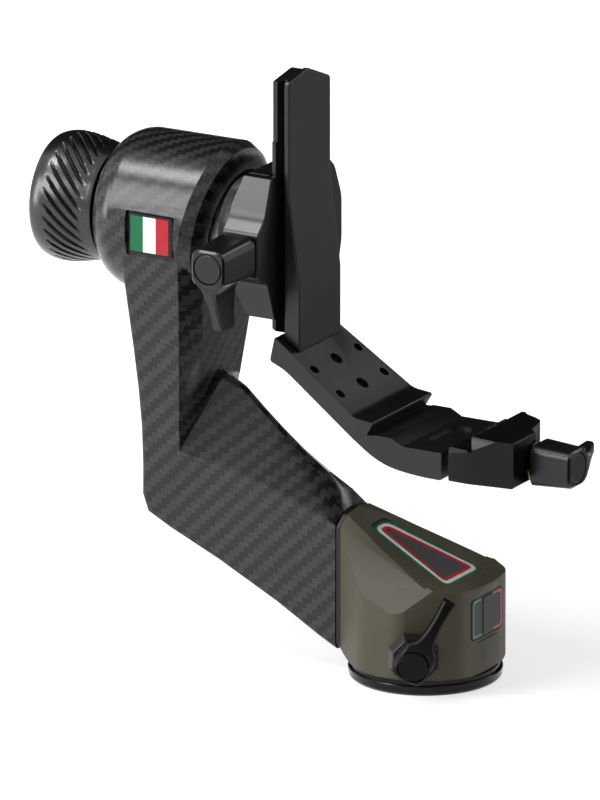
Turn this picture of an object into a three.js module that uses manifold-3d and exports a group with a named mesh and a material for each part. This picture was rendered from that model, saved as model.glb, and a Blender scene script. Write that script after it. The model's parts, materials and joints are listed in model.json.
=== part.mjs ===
// Side-mount gimbal head: carbon arm on a panning housing, tilting dovetail clamp, riser and lens cradle.
// Millimetres, +Z up. Origin: centre of the round base, on the pan axis.
// +X runs from the arm to the lens lever.

import * as THREE from 'three';
import { mergeVertices } from 'three/addons/utils/BufferGeometryUtils.js';
import { ConvexGeometry } from 'three/addons/geometries/ConvexGeometry.js';
import Module from 'manifold-3d';

const wasm = await Module();
wasm.setup();

// Fits shared by the whole head
const gap = 0.3;
const overrun = 2;
const fineSteps = 48;
const plainSteps = 24;
const boltSteps = 10;
const flatSteps = 5;

// Base
const baseRadius = 30;
const baseHeight = 5.7;
const baseRimHeight = 4;
const baseRimEase = 0.9;
const baseRimLip = 0.3;
const bandRadius = 28.9;
const bushRadius = 6;
const bushBoreRadius = 4.1;
const bushLength = 9;
const spindleRadius = 10;
const spindleFootRadius = 16;
const spindleFootHeight = 2;
const spindleNoseRadius = 5;
const flangeBoltCircle = 12.6;
const flangeBoltRadius = 1.5;
const flangeBoltHeadRadius = 2.7;
const flangeBoltHeadHeight = 1.6;

// Pan bearings and retainer
const bearingPlay = 0.3;
const lowerBearingRadius = 17;
const lowerBearingHeight = 3.4;
const upperBearingRadius = 11;
const upperBearingHeight = 6;
const spindleShoulder = 24;
const retainerWasherRadius = 5.8;
const retainerWasherHeight = 1;
const retainerHeadRadius = 4.3;
const retainerHeadHeight = 4;
const retainerScrewRadius = 2.4;
const retainerScrewLength = 14;
const retainerAccessRadius = 6.4;

// Housing
const housingOverhang = 1.5;
const housingEndX = 28.7;
const housingEndCornerX = 25.9;
const housingEndCornerY = 18.7;
const housingFlatCornerX = 4.4;
const housingFlatCornerY = baseRadius + housingOverhang;
const housingWaistX = -13.9;
const housingWaistY = 27.2;
const junctionX = -29.9;
const junctionHalfWidth = 13.9;
const junctionBottomZ = 9.2;
const junctionShoulderZ = 57.5;
const junctionRidgeZ = 62.8;
const junctionArchY = 8.6;
const junctionArchZ = 61.6;
const housingEndTopZ = 40.5;
const housingCrestX = -15.3;
const housingCrestZ = 54.6;
const housingBreakX = 14;
const housingBreakY = 23.9;
const housingBreakZ = 42.5;
const housingBevelFootX = -1.2;
const housingBevelFootZ = 31.6;
const housingCornerEase = 4.5;
const housingUnderEase = 1.6;
const housingUnderRadius = 29.8;

// Badge on top of the housing and badge on its end
const badgeLength = 42.8;
const badgeNoseHalfWidth = 6.3;
const badgeTailHalfWidth = 14.2;
const badgeCentreX = -1.9;
const badgeStripe = 1.65;
const inlaySeam = 0.06;
const badgeDepth = 1.1;
const badgeCornerEase = 4.2;
const badgeCentreDrop = 0.35;
const endBadgeBottomZ = 20.3;
const endBadgeTopZ = 36.3;
const endBadgeHalfWidth = 11.6;
const endBadgeDepth = 1.3;
const endPanelThickness = 1.6;
const endStripeDepth = 0.5;
const endPlateProud = 0.4;
const endBadgeStripe = 0.9;
const endPlateHalfWidth = 3.6;
const endFrameMargin = 1.6;

// Arm
const armEndX = -32.1;
const armWall = 3.4;
const armCornerEase = 2.4;
const armCornerShare = 0.4;
const armSolidStations = 3;
// Stations of the arm's skin as shares of its reach, the barrel radius and the tilt height:
// middle of the outer face, outer corner, side edge, inner edge and crest
const armStationShares = [
  [[0.905, 0.984], [0.89, 0.962, 0.984], [0.691, 0.962, 0.984], [0.64, 0.696, 0.984], [0.636, 0.984]],
  [[0.899, 0.889], [0.88, 0.924, 0.889], [0.692, 0.924, 0.889], [0.643, 0.677, 0.889], [0.639, 0.889]],
  [[0.893, 0.812], [0.873, 0.873, 0.812], [0.697, 0.873, 0.812], [0.651, 0.627, 0.812], [0.648, 0.812]],
  [[0.886, 0.711], [0.862, 0.813, 0.711], [0.705, 0.81, 0.711], [0.663, 0.544, 0.711], [0.66, 0.717]],
  [[0.881, 0.613], [0.854, 0.753, 0.613], [0.713, 0.747, 0.613], [0.674, 0.449, 0.613], [0.671, 0.658]],
  [[0.879, 0.522], [0.851, 0.696, 0.522], [0.721, 0.69, 0.528], [0.676, 0.399, 0.592], [0.668, 0.644]],
  [[0.88, 0.427], [0.854, 0.639, 0.427], [0.724, 0.655, 0.474], [0.658, 0.114, 0.628], [0.646, 0.632]],
  [[0.883, 0.35], [0.86, 0.595, 0.35], [0.687, 0.592, 0.462], [0.599, 0.063, 0.609], [0.594, 0.612]],
  [[0.862, 0.302], [0.845, 0.576, 0.309], [0.636, 0.535, 0.457], [0.539, 0.057, 0.567], [0.538, 0.571]],
  [[0.777, 0.27], [0.773, 0.56, 0.277], [0.565, 0.516, 0.44], [0.478, 0.06, 0.526], [0.477, 0.532]],
  [[0.62, 0.213], [0.617, 0.535, 0.219], [0.461, 0.497, 0.414], [0.404, 0.076, 0.479], [0.403, 0.486]],
  [[0.432, 0.134], [0.43, 0.491, 0.139], [0.357, 0.475, 0.385], [0.324, 0.117, 0.433], [0.322, 0.442]],
  [[0.295, 0.069], [0.293, 0.456, 0.072], [0.276, 0.453, 0.362], [0.269, 0.209, 0.397], [0.267, 0.404]],
  [[0.238, 0.045], [0.238, 0.446, 0.048], [0.238, 0.443, 0.345], [0.238, 0.278, 0.368], [0.238, 0.375]],
];
const armWallDrawShare = 1.25;
const armWallReachShare = 0.7;
const gasketInset = 0.7;
const tongueLength = 18;
const tongueHalfWidth = 8.6;
const tongueLowZ = 24.8;
const tongueHighZ = 50.7;
const armBoltRadius = 2.5;
const armBoltHeadRadius = 4.4;
const armBoltHeadHeight = 4;
const armBoltGrip = 9;
const armBoltLowZ = 29;
const armBoltHighZ = 46;

// Barrel and tilt bearings
const tiltAxisZ = 168.7;
const barrelRadius = 31.6;
const barrelLeftX = -134.6;
const barrelLeftRadius = 22.4;
const barrelShoulderX = -122.7;
const barrelDomeShares = [[0, 0], [0.07, 0.24], [0.17, 0.45], [0.35, 0.68], [0.57, 0.85], [0.78, 0.95],
  [1, 1]];
const barrelBorderX = -91.6;
const barrelFaceX = -84.2;
const barrelFaceRadius = 24;
const barrelLeanShare = 0.18;
const barrelChamferShare = 0.62;
const barrelChamferDropShare = 0.3;
const shaftRadius = 9.7;
const tiltBearingRadius = 16;
const tiltBearingWidth = 7;
const sleeveBoreRadius = 13;
const retainerRingRadius = 21;
const retainerRingWidth = 2.2;
const retainerSeatX = -88.4;
const shaftFlangeRadius = 18.6;
const shaftFlangeWidth = 4;
const shaftCollarRadius = 15.2;
const shaftThreadRadius = 6;

// Label set into the near side of the barrel
const labelCentreX = -104.7;
const labelCentreZ = 168;
const labelWidth = 19.5;
const labelHeight = 16;
const labelThickness = 0.8;
const labelRecessMargin = 1;
const labelRecessDepth = 2.4;

// Tilt drag knob
const knobInnerX = -136.3;
const knobInnerRadius = 22.3;
const knobWidestX = -156.5;
const knobWidestRadius = 25.6;
const knobShoulderX = -161.4;
const knobShoulderRadius = 24.3;
const knobOuterX = -163.4;
const knobOuterRadius = 22;
const knobGrooves = 30;
const knobGrooveDepth = 0.9;
const knobGrooveTwistDeg = -25;
const knobGrooveStartX = -139.6;
const knobGrooveEndX = -159;
const knobGripShares = [0.25, 0.5, 0.75];
const knobGripDropShares = [0.95, 0.62, 0.28];
const knobFacetsPerGroove = 3;
const knobRecessRadius = 15;
const knobRecessDepth = 2.4;
const knobCapThickness = 1.8;
const dragDiscRadius = 19;

// Riser clamp
const clampFaceX = -55.8;
const clampBackX = -71.6;
const clampTopZ = 195.6;
const clampBottomZ = 138.3;
const clampTopHalfWidth = 22;
const clampHalfWidth = 32.4;
const clampEarTopZ = 175.8;
const clampEarBottomZ = 158;
const clampCornerStep = 4.95;
const clampHeelStep = 3.3;
const clampFootStep = 2.5;
const clampHeelDrop = 9.9;
const clampShoulderDrop = 6.6;
const clampEases = [0.8, 3, 1.2, 1.2, 2.4, 1.6, 1.6, 3, 2, 3, 2, 1.6];
const clampReliefRise = 5.3;
const clampReliefDepth = 4;
const clampReliefStart = 1;
const clampJawSplitY = -17.6;
const clampLipHalfWidth = 13;
const clampScrewZ = 167;
const clampScrewX = -64.6;
const clampScrewRadius = 3;
const clampJawPinRadius = 1.8;
const clampJawPinSpread = 17;
const clampPinStart = 9.6;
const clampPinLength = 12;
const shaftBoltRadius = 4;
const shaftBoltHeadRadius = 6.6;
const shaftBoltHeadHeight = 4.4;
const shaftBoltDepth = 16;

// Riser
const railHalfWidth = 16;
const railNeckHalfWidth = 12.4;
const railBackX = -58.9;
const railEdgeThickness = 1.5;
const railFlare = 2.2;
const plateBackX = -53.6;
const plateFrontX = -51.4;
const plateFootX = -46.8;
const plateHalfWidth = 16;
const plateBendZ = 189.3;
const plateBendLowZ = 153.3;
const riserPeakZ = 235.7;
const riserPeakY = -1;
const riserNearTopZ = 233.4;
const riserFarTopZ = 228.4;
const riserTopEase = 1.6;
const railStepZ = 208.8;
const railStepDrop = 0.7;
const railBoltHeights = [148, 184, 221];
const railBoltRadius = 1.5;
const railBoltHeadRadius = 2.8;
const railBoltHeadHeight = 1.9;

// Cradle bracket
const bracketTopX = -55.6;
const bracketTopZ = 131.9;
const bracketThickness = 12.2;
const bracketUnderX = -51.4;
const bracketUnderZ = bracketTopZ - bracketThickness;
const bracketBackX = -57.7;
const bracketBackRise = 2.4;
const bracketBendX = -18.7;
const bracketBendZ = 106.1;
const bracketNoseX = -10.5;
const bracketNoseZ = 105.2;
const bracketUndercutX = -13.1;
const seatZ = 100.4;
const seatReliefDepth = 0.4;
const slotFloorZ = 97.8;
const seatEdgeX = -2.1;
const slotStartX = 2.9;
const slotLength = 11.3;
const slotEndShare = 0.96;
const bracketBottomZ = 86.9;
const bracketHeelX = -6.9;
const bracketHeelZ = 89.2;
const bracketFlatX = 9;
const bracketEndX = 20;
const bracketEases = [0.6, 1.5, 4, 8, 8, 0.8, 0, 0, 0, 0, 0, 0, 0.4, 0.4, 2];
const bracketTopHalfWidth = 20;
const bracketHalfWidth = 23.1;
const bracketHoleRadius = 2.1;
const bracketCentreHoleRadius = 2.8;
const bracketHoleSpreadY = 16.8;
const bracketHoleRowOneX = -39.6;
const bracketHoleRowTwoX = -28.1;
const bracketBoltRadius = 1.5;
const bracketBoltHeadRadius = 2.8;
const bracketBoltHeadHeight = 1.8;
const bracketBoltSink = 1;
const bracketBoltLength = 24.6;
const bracketBoltSpreadY = 10;

// Lens jaw and its screw
const jawGap = 2.6;
const jawEndX = 49.6;
const jawTopZ = 105.2;
const jawLipX = 31.3;
const jawUndercutX = 33.3;
const jawRampEndX = 42;
const jawNearHalfWidth = 22.6;
const jawRampHalfWidth = 20.6;
const jawEndHalfWidth = 19;
const lensScrewZ = 93;
const lensScrewRadius = 3;
const lensScrewTipX = 6;
const lensBossRadius = 5.4;
const jawPocketRadius = 8.6;
const jawPocketX = 45;
const jawStepX = 46.4;
const jawFarX = 43.8;
const jawNearY = 2.1;
const jawStepY = 0.6;
const jawFarY = 12.6;
const jawFarCornerX = 39.4;
const jawFarCornerY = 15.3;
const jawFarRampX = 34.3;
const jawFarRampY = 17.4;
const jawRampLead = 2;
const jawRampSink = 0.9;
const jawEases = [0.8, 1, 0.6, 0.5, 0, 0, 0, 0, 0.5];
const jawPlanEases = [0.6, 2, 2, 0, 0, 0.8, 1, 2, 2, 2, 0.8, 0.6];
const lensPinRadius = 2;
const lensPinSpreadY = 13.5;
const lensPinTravel = 3.4;
const lensPinEndX = 35.3;
const washerRadius = 7.2;
const washerThickness = 1.6;

// Lever knob: one design, three uses
const leverInnerHalf = 8.2;
const leverOuterHalf = 7.3;
const leverSides = 4;
const leverCornerShare = 0.38;
const leverTurnShare = 0.5;
const clampLeverLength = 23.1;
const lensLeverLength = 17.4;
const leverCapRadius = 5.9;
const leverCapThickness = 1.2;
const leverCapGroove = 0.35;
const leverStudShare = 3;
const leverWingLength = 26.5;
const leverWingOuterDrop = 8;
const leverWingInnerDrop = 6.2;
const leverWingRootHalf = 6.4;
// Stations of a wing as shares of its length, root width, inner drop and outer drop
const leverWingShares = [
  [0, 1, 0.3, 0], [0.24, 0.95, 0.7, 0], [0.33, 0.55, 0.95, 0.04], [0.42, 0.43, 1, 0.15],
  [0.55, 0.35, 1, 0.34], [0.76, 0.32, 1, 0.65], [1, 0.37, 1, 1],
];
const leverEase = 0.8;

// Pan lever
const panLeverAzimuthDeg = -60;
const panLeverOffset = -4.9;
const panLeverZ = 15.7;
const panCapDistance = 42;
const panCollarRadius = 10.6;
const panCollarTopRadius = 8.4;
const panCollarHeight = 4;
const panLeverLength = 8.2;
const panLeverHubHalf = 7;
const panWingLength = 28.5;
const panWingAngleDeg = 61;
const panWingRootHalf = 6.6;
const panWingInnerDrop = 2;
const panWingOuterDrop = 1.2;
const panScrewRadius = 2.5;
const brakePadRadius = 3.6;
const brakePadLength = 6;

const toRad = THREE.MathUtils.degToRad;

// Finishes read from the photograph
const finishes = {
  blackMetal: { color: 0x1b1b1d, roughness: 0.42, metalness: 0.7 },
  satinBlack: { color: 0x202022, roughness: 0.5, metalness: 0.6 },
  carbon: { color: 0x151617, roughness: 0.3, metalness: 0.1 },
  olive: { color: 0x4a4636, roughness: 0.55, metalness: 0.2 },
  steel: { color: 0x9a9da0, roughness: 0.3, metalness: 1 },
  brass: { color: 0xb08a45, roughness: 0.3, metalness: 1 },
  green: { color: 0x1f6b45, roughness: 0.5, metalness: 0 },
  white: { color: 0xe8e6e0, roughness: 0.5, metalness: 0 },
  red: { color: 0xa8323c, roughness: 0.5, metalness: 0 },
  darkInlay: { color: 0x2a2a2b, roughness: 0.6, metalness: 0.2 },
};

// Turns a closed three.js geometry into a solid that can be joined and cut.
function solid(geometry) {
  const bare = geometry.clone();
  for (const name of Object.keys(bare.attributes)) {
    if (name !== 'position') {
      bare.deleteAttribute(name);
    }
  }
  const merged = mergeVertices(bare);
  const corners = merged.index.array;
  const kept = [];
  for (let i = 0; i < corners.length; i += 3) {
    const [a, b, c] = [corners[i], corners[i + 1], corners[i + 2]];
    if (a !== b && b !== c && c !== a) {
      kept.push(a, b, c);
    }
  }
  const vertProperties = new Float32Array(merged.attributes.position.array);
  return new wasm.Manifold(new wasm.Mesh({ numProp: 3, vertProperties, triVerts: new Uint32Array(kept) }));
}

function join(first, ...others) {
  return others.reduce((whole, other) => whole.add(other), first);
}

function cut(body, ...tools) {
  return tools.reduce((left, tool) => left.subtract(tool), body);
}

// A named mesh from a finished solid.
function piece(name, body, finish) {
  const mesh = body.getMesh();
  const geometry = new THREE.BufferGeometry();
  geometry.setAttribute('position', new THREE.BufferAttribute(mesh.vertProperties, 3));
  geometry.setIndex(new THREE.BufferAttribute(mesh.triVerts, 1));
  geometry.computeVertexNormals();
  const part = new THREE.Mesh(geometry, new THREE.MeshStandardMaterial(finishes[finish]));
  part.name = name;
  return part;
}

// A solid of revolution about Z from [radius, height] pairs that run from the axis up to the axis.
function turned(profile, steps = plainSteps) {
  const points = profile.map(([r, z]) => new THREE.Vector2(r, z));
  const geometry = new THREE.LatheGeometry(points, steps);
  geometry.rotateX(Math.PI / 2);
  return geometry;
}

function rod(radius, low, high, steps = plainSteps) {
  return turned([[0, low], [radius, low], [radius, high], [0, high]], steps);
}

// Lays a geometry made along Z over to point along +X, keeping heights as X.
function alongX(geometry) {
  return geometry.clone().rotateY(Math.PI / 2);
}

// Lays a geometry made along Z over to point along -Y.
function alongNearSide(geometry) {
  return geometry.clone().rotateX(Math.PI / 2);
}

function at(geometry, x, y, z) {
  return geometry.clone().translate(x, y, z);
}

// An outline of [a, b] corners, each rounded by its own reach along the edges.
function outline(corners, eases = []) {
  const shape = new THREE.Shape();
  const count = corners.length;
  corners.forEach(([a, b], i) => {
    const here = new THREE.Vector2(a, b);
    const before = new THREE.Vector2(...corners[(i + count - 1) % count]);
    const after = new THREE.Vector2(...corners[(i + 1) % count]);
    const ease = eases[i] ?? 0;
    const start = here.clone().add(before.sub(here).setLength(ease));
    const end = here.clone().add(after.sub(here).setLength(ease));
    if (i === 0) {
      shape.moveTo(start.x, start.y);
    } else {
      shape.lineTo(start.x, start.y);
    }
    if (ease > 0) {
      shape.quadraticCurveTo(here.x, here.y, end.x, end.y);
    }
  });
  shape.closePath();
  return shape;
}

function prismZ(shape, low, high) {
  const geometry = new THREE.ExtrudeGeometry(shape, { depth: high - low, bevelEnabled: false,
    curveSegments: flatSteps });
  return geometry.translate(0, 0, low);
}

// Outline in (Y, Z), extruded along X.
function prismX(shape, low, high) {
  const basis = new THREE.Matrix4().makeBasis(
    new THREE.Vector3(0, 1, 0), new THREE.Vector3(0, 0, 1), new THREE.Vector3(1, 0, 0));
  return prismZ(shape, low, high).applyMatrix4(basis);
}

// Outline in (X, Z), extruded along Y.
function prismY(shape, low, high) {
  const basis = new THREE.Matrix4().makeBasis(
    new THREE.Vector3(1, 0, 0), new THREE.Vector3(0, 0, 1), new THREE.Vector3(0, -1, 0));
  return prismZ(shape, -high, -low).applyMatrix4(basis);
}

function block(x0, x1, y0, y1, z0, z1) {
  const geometry = new THREE.BoxGeometry(x1 - x0, y1 - y0, z1 - z0);
  return geometry.translate((x0 + x1) / 2, (y0 + y1) / 2, (z0 + z1) / 2);
}

// A cutting block whose inner face passes through three points and which lies on the side away from a centre.
function beyondPlane(p, q, r, size) {
  const normal = new THREE.Plane().setFromCoplanarPoints(p, q, r).normal;
  if (normal.dot(p) < 0) {
    normal.negate();
  }
  const turn = new THREE.Quaternion().setFromUnitVectors(new THREE.Vector3(0, 0, 1), normal);
  const geometry = new THREE.BoxGeometry(size, size, size).translate(0, 0, size / 2);
  return geometry.applyQuaternion(turn).translate(p.x, p.y, p.z);
}

function mirroredY(geometry) {
  const copy = geometry.clone().scale(1, -1, 1);
  const corners = copy.index ? copy.index.array : null;
  if (corners) {
    for (let i = 0; i < corners.length; i += 3) {
      [corners[i], corners[i + 1]] = [corners[i + 1], corners[i]];
    }
    return copy;
  }
  const places = copy.attributes.position;
  const held = new THREE.Vector3();
  const other = new THREE.Vector3();
  for (let i = 0; i < places.count; i += 3) {
    held.fromBufferAttribute(places, i);
    other.fromBufferAttribute(places, i + 1);
    places.setXYZ(i, other.x, other.y, other.z);
    places.setXYZ(i + 1, held.x, held.y, held.z);
  }
  return copy;
}

// Skins a list of rings with equal point counts and closes both ends.
function skinned(rings) {
  const places = [];
  const corners = [];
  const count = rings[0].length;
  for (const ring of rings) {
    for (const point of ring) {
      places.push(point.x, point.y, point.z);
    }
  }
  for (let i = 0; i + 1 < rings.length; i += 1) {
    for (let j = 0; j < count; j += 1) {
      const k = (j + 1) % count;
      const [a, b, c, d] = [i * count + j, i * count + k, (i + 1) * count + k, (i + 1) * count + j];
      corners.push(a, b, c, a, c, d);
    }
  }
  const last = (rings.length - 1) * count;
  for (let j = 1; j + 1 < count; j += 1) {
    corners.push(0, j + 1, j);
    corners.push(last, last + j, last + j + 1);
  }
  const geometry = new THREE.BufferGeometry();
  geometry.setAttribute('position', new THREE.Float32BufferAttribute(places, 3));
  geometry.setIndex(corners);
  return geometry;
}

// Base flange, threaded bush, spindle and the three screws that hold it
const footTop = baseHeight + spindleFootHeight + gap;
const flangeBoltSpots = [0, 1, 2].map((i) => {
  const angle = (i * 2 * Math.PI) / 3;
  return [flangeBoltCircle * Math.cos(angle), flangeBoltCircle * Math.sin(angle)];
});

function baseFlange() {
  const body = solid(turned([
    [0, 0], [bandRadius, 0], [baseRadius - baseRimLip, baseRimEase], [baseRadius,
    baseRimHeight - baseRimLip],
    [baseRadius - baseRimLip, baseRimHeight], [bandRadius, baseRimHeight], [bandRadius, baseHeight], [0,
    baseHeight],
  ], fineSteps));
  const bushHole = solid(rod(bushRadius + gap, -overrun, baseHeight + overrun));
  const screwHoles = flangeBoltSpots.flatMap(([x, y]) => [
    solid(at(rod(flangeBoltRadius + gap, -overrun, baseHeight + overrun, boltSteps), x, y, 0)),
    solid(at(rod(flangeBoltHeadRadius + gap, -overrun, flangeBoltHeadHeight + 2 * gap, boltSteps), x, y,
    0)),
  ]);
  return cut(body, bushHole, ...screwHoles);
}

function threadedBush() {
  return cut(
    solid(rod(bushRadius, gap, bushLength)),
    solid(rod(bushBoreRadius, -overrun, bushLength + overrun)));
}

function panSpindle() {
  const low = baseHeight + gap;
  const body = solid(turned([
    [0, low], [spindleFootRadius, low], [spindleFootRadius, footTop], [spindleRadius, footTop],
    [spindleRadius, spindleShoulder - gap], [spindleNoseRadius, spindleShoulder - gap],
    [spindleNoseRadius, spindleShoulder + upperBearingHeight - gap], [0,
    spindleShoulder + upperBearingHeight - gap],
  ]));
  const bushPocket = solid(rod(bushRadius + gap, 0, bushLength + gap));
  const screwTip = spindleShoulder + upperBearingHeight + retainerWasherHeight - retainerScrewLength - gap;
  const retainerHole = solid(rod(retainerScrewRadius + gap, screwTip,
    spindleShoulder + upperBearingHeight, boltSteps));
  const screwHoles = flangeBoltSpots.map(([x, y]) =>
    solid(at(rod(flangeBoltRadius + gap, 0, footTop + overrun, boltSteps), x, y, 0)));
  return cut(body, bushPocket, retainerHole, ...screwHoles);
}

function flangeScrew() {
  return solid(turned([
    [0, gap], [flangeBoltHeadRadius, gap], [flangeBoltHeadRadius, flangeBoltHeadHeight + gap],
    [flangeBoltRadius, flangeBoltHeadHeight + gap], [flangeBoltRadius, footTop - gap], [0, footTop - gap],
  ], boltSteps));
}

function bearingRing(boreRadius, outerRadius, low, high, steps = plainSteps) {
  return cut(solid(rod(outerRadius, low, high, steps)), solid(rod(boreRadius, low - overrun,
    high + overrun, steps)));
}

const lowerBearingLow = footTop + gap;
const lowerBearingHigh = lowerBearingLow + lowerBearingHeight;

function panBearingLower() {
  return bearingRing(spindleRadius + bearingPlay, lowerBearingRadius, lowerBearingLow, lowerBearingHigh);
}

function panBearingUpper() {
  const low = spindleShoulder;
  return bearingRing(spindleNoseRadius + bearingPlay, upperBearingRadius, low, low + upperBearingHeight);
}

const washerLow = spindleShoulder + upperBearingHeight + gap;

function panRetainingWasher() {
  return cut(
    solid(rod(retainerWasherRadius, washerLow, washerLow + retainerWasherHeight)),
    solid(rod(retainerScrewRadius + gap, washerLow - overrun, washerLow + retainerWasherHeight + overrun,
      boltSteps)));
}

function panRetainingScrew() {
  const seat = washerLow + retainerWasherHeight + gap;
  const top = seat + retainerHeadHeight;
  const body = solid(turned([
    [0, top - retainerScrewLength], [retainerScrewRadius, top - retainerScrewLength],
    [retainerScrewRadius, seat],
    [retainerHeadRadius, seat], [retainerHeadRadius, top], [0, top],
  ], boltSteps));
  const socket = new THREE.CylinderGeometry(retainerHeadRadius / 2, retainerHeadRadius / 2,
    retainerHeadHeight, 6);
  return cut(body, solid(socket.rotateX(Math.PI / 2).translate(0, 0, top)));
}

// Housing
const housingFlatRunX = housingEndCornerX - housingFlatCornerX;
const housingFlatRunY = housingFlatCornerY - housingEndCornerY;
const housingFlatDistance = (housingEndCornerX * housingFlatCornerY - housingFlatCornerX * housingEndCornerY)
  / Math.hypot(housingFlatRunX, housingFlatRunY);
const topSlopeShare = (housingCrestZ - housingBreakZ) / (housingBreakX - housingCrestX);

function topHeight(x) {
  return housingBreakZ + (housingBreakX - x) * topSlopeShare;
}

function panCollarFrame() {
  const frame = new THREE.Group();
  frame.rotation.z = toRad(panLeverAzimuthDeg);
  frame.updateMatrix();
  return frame.matrix.clone().multiply(new THREE.Matrix4().makeTranslation(0, panLeverOffset, panLeverZ));
}

function housing() {
  const plan = outline([
    [junctionX, -junctionHalfWidth], [housingWaistX, -housingWaistY], [housingFlatCornerX,
    -housingFlatCornerY],
    [housingEndCornerX, -housingEndCornerY], [housingEndX, 0], [housingEndCornerX, housingEndCornerY],
    [housingFlatCornerX, housingFlatCornerY], [housingWaistX, housingWaistY], [junctionX,
    junctionHalfWidth],
  ], [0, housingCornerEase, housingCornerEase, housingCornerEase, housingCornerEase * 2, housingCornerEase,
    housingCornerEase, housingCornerEase, 0]);
  const side = outline([
    [junctionX, junctionBottomZ], [-baseRadius + housingUnderEase * 2, baseHeight + gap + housingUnderEase],
    [-baseRadius + housingUnderEase * 4, baseHeight + gap],
    [housingEndX + overrun, baseHeight + gap], [housingEndX + overrun, housingEndTopZ],
    [housingEndX - housingUnderEase / 2, housingEndTopZ], [housingBreakX, housingBreakZ],
    [housingCrestX, housingCrestZ],
    [junctionX, junctionRidgeZ],
  ], [0, 0, 0, 0, 0, housingUnderEase / 2, housingUnderEase * 4, housingCornerEase * 2, 0]);
  const body = solid(prismZ(plan, 0, junctionRidgeZ + overrun)).intersect(
    solid(prismY(side, -housingFlatCornerY - overrun, housingFlatCornerY + overrun)));
  const shoulder = new THREE.Vector3(junctionX, -junctionHalfWidth, junctionShoulderZ);
  const breakCorner = new THREE.Vector3(housingBreakX, -housingBreakY, housingBreakZ);
  const bevelFoot = new THREE.Vector3(housingBevelFootX, -housingFlatCornerY, housingBevelFootZ);
  const ridge = new THREE.Vector3(junctionX, 0, junctionRidgeZ);
  const size = housingFlatCornerY * 3;
  const bevel = beyondPlane(shoulder, breakCorner, bevelFoot, size);
  const arch = new THREE.Vector3(junctionX, -junctionArchY, junctionArchZ);
  const roof = beyondPlane(arch, shoulder, breakCorner, size);
  const crest = new THREE.Vector3(housingCrestX, -junctionArchY,
    housingCrestZ + junctionRidgeZ - junctionArchZ);
  const cap = beyondPlane(ridge, arch, crest, size);
  const skirt = solid(turned([
    [0, 0], [housingUnderRadius, 0], [housingUnderRadius, baseHeight + gap],
    [housingUnderRadius + housingUnderEase, baseHeight + gap + housingUnderEase],
    [housingUnderRadius * 2, baseHeight + gap + housingUnderEase], [housingUnderRadius * 2,
    junctionRidgeZ + overrun * 2],
    [0, junctionRidgeZ + overrun * 2],
  ], fineSteps));
  return cut(
    body.intersect(skirt),
    solid(bevel), solid(mirroredY(bevel)), solid(roof), solid(mirroredY(roof)),
    solid(cap), solid(mirroredY(cap)),
    housingBore(), badgePocket(), endBadgePocket(), panScrewBore(), ...armBoltHoles());
}

function housingBore() {
  return solid(turned([
    [0, 0], [spindleFootRadius + 4 * gap, 0], [spindleFootRadius + 4 * gap, lowerBearingLow + gap],
    [lowerBearingRadius + bearingPlay, lowerBearingLow + gap], [lowerBearingRadius + bearingPlay,
    lowerBearingHigh + gap],
    [spindleRadius + 4 * gap, lowerBearingHigh + gap], [spindleRadius + 4 * gap, spindleShoulder - gap],
    [upperBearingRadius + bearingPlay, spindleShoulder - gap],
    [upperBearingRadius + bearingPlay, washerLow], [retainerAccessRadius, washerLow],
    [retainerAccessRadius, junctionRidgeZ], [0, junctionRidgeZ],
  ]));
}

// Wedge-shaped badge, drawn flat in its own plane: narrow towards the arm.
function badgeShape(inset) {
  const half = badgeLength / 2 - inset;
  const nose = badgeNoseHalfWidth - inset;
  const tail = badgeTailHalfWidth - inset;
  const tailEase = badgeCornerEase - inset / 2;
  const noseEase = Math.min(tailEase, nose * 0.9);
  return outline([[-half, -nose], [half, -tail], [half, tail], [-half, nose]], [noseEase, tailEase,
    tailEase, noseEase]);
}

function badgeFrame() {
  const frame = new THREE.Group();
  frame.position.set(badgeCentreX, 0, topHeight(badgeCentreX));
  frame.rotation.y = Math.atan(topSlopeShare);
  return frame;
}

function inBadgeFrame(geometry) {
  const frame = badgeFrame();
  frame.updateMatrix();
  return geometry.applyMatrix4(frame.matrix);
}

function badgePocket() {
  return solid(inBadgeFrame(prismZ(badgeShape(-gap), -badgeDepth - gap, overrun * 3)));
}

function badgeBand(inset) {
  const outer = solid(prismZ(badgeShape(inset + inlaySeam), -badgeDepth, 0));
  const inner = solid(prismZ(badgeShape(inset + badgeStripe), -badgeDepth - overrun, overrun));
  return outer.subtract(inner);
}

function badgeCentre() {
  return solid(prismZ(badgeShape(badgeStripe * 3 + inlaySeam), -badgeDepth, -badgeCentreDrop));
}

// End badge: a dark panel with a coloured outline on each half and a bare plate between
const endBadgeFaceX = housingEndX - endBadgeDepth;

function endBadgeShape(inset) {
  const half = endBadgeHalfWidth - inset;
  return outline([
    [-half, endBadgeBottomZ + inset], [half, endBadgeBottomZ + inset],
    [half, endBadgeTopZ - inset], [-half, endBadgeTopZ - inset],
  ], Array(4).fill(endBadgeStripe * 2));
}

function endBadgePocket() {
  const frame = solid(prismX(endBadgeShape(-endFrameMargin), endBadgeFaceX, housingEndX + overrun));
  const seat = solid(prismX(endBadgeShape(-gap), endBadgeFaceX - endPanelThickness - gap, housingEndX));
  return frame.add(seat);
}

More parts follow.
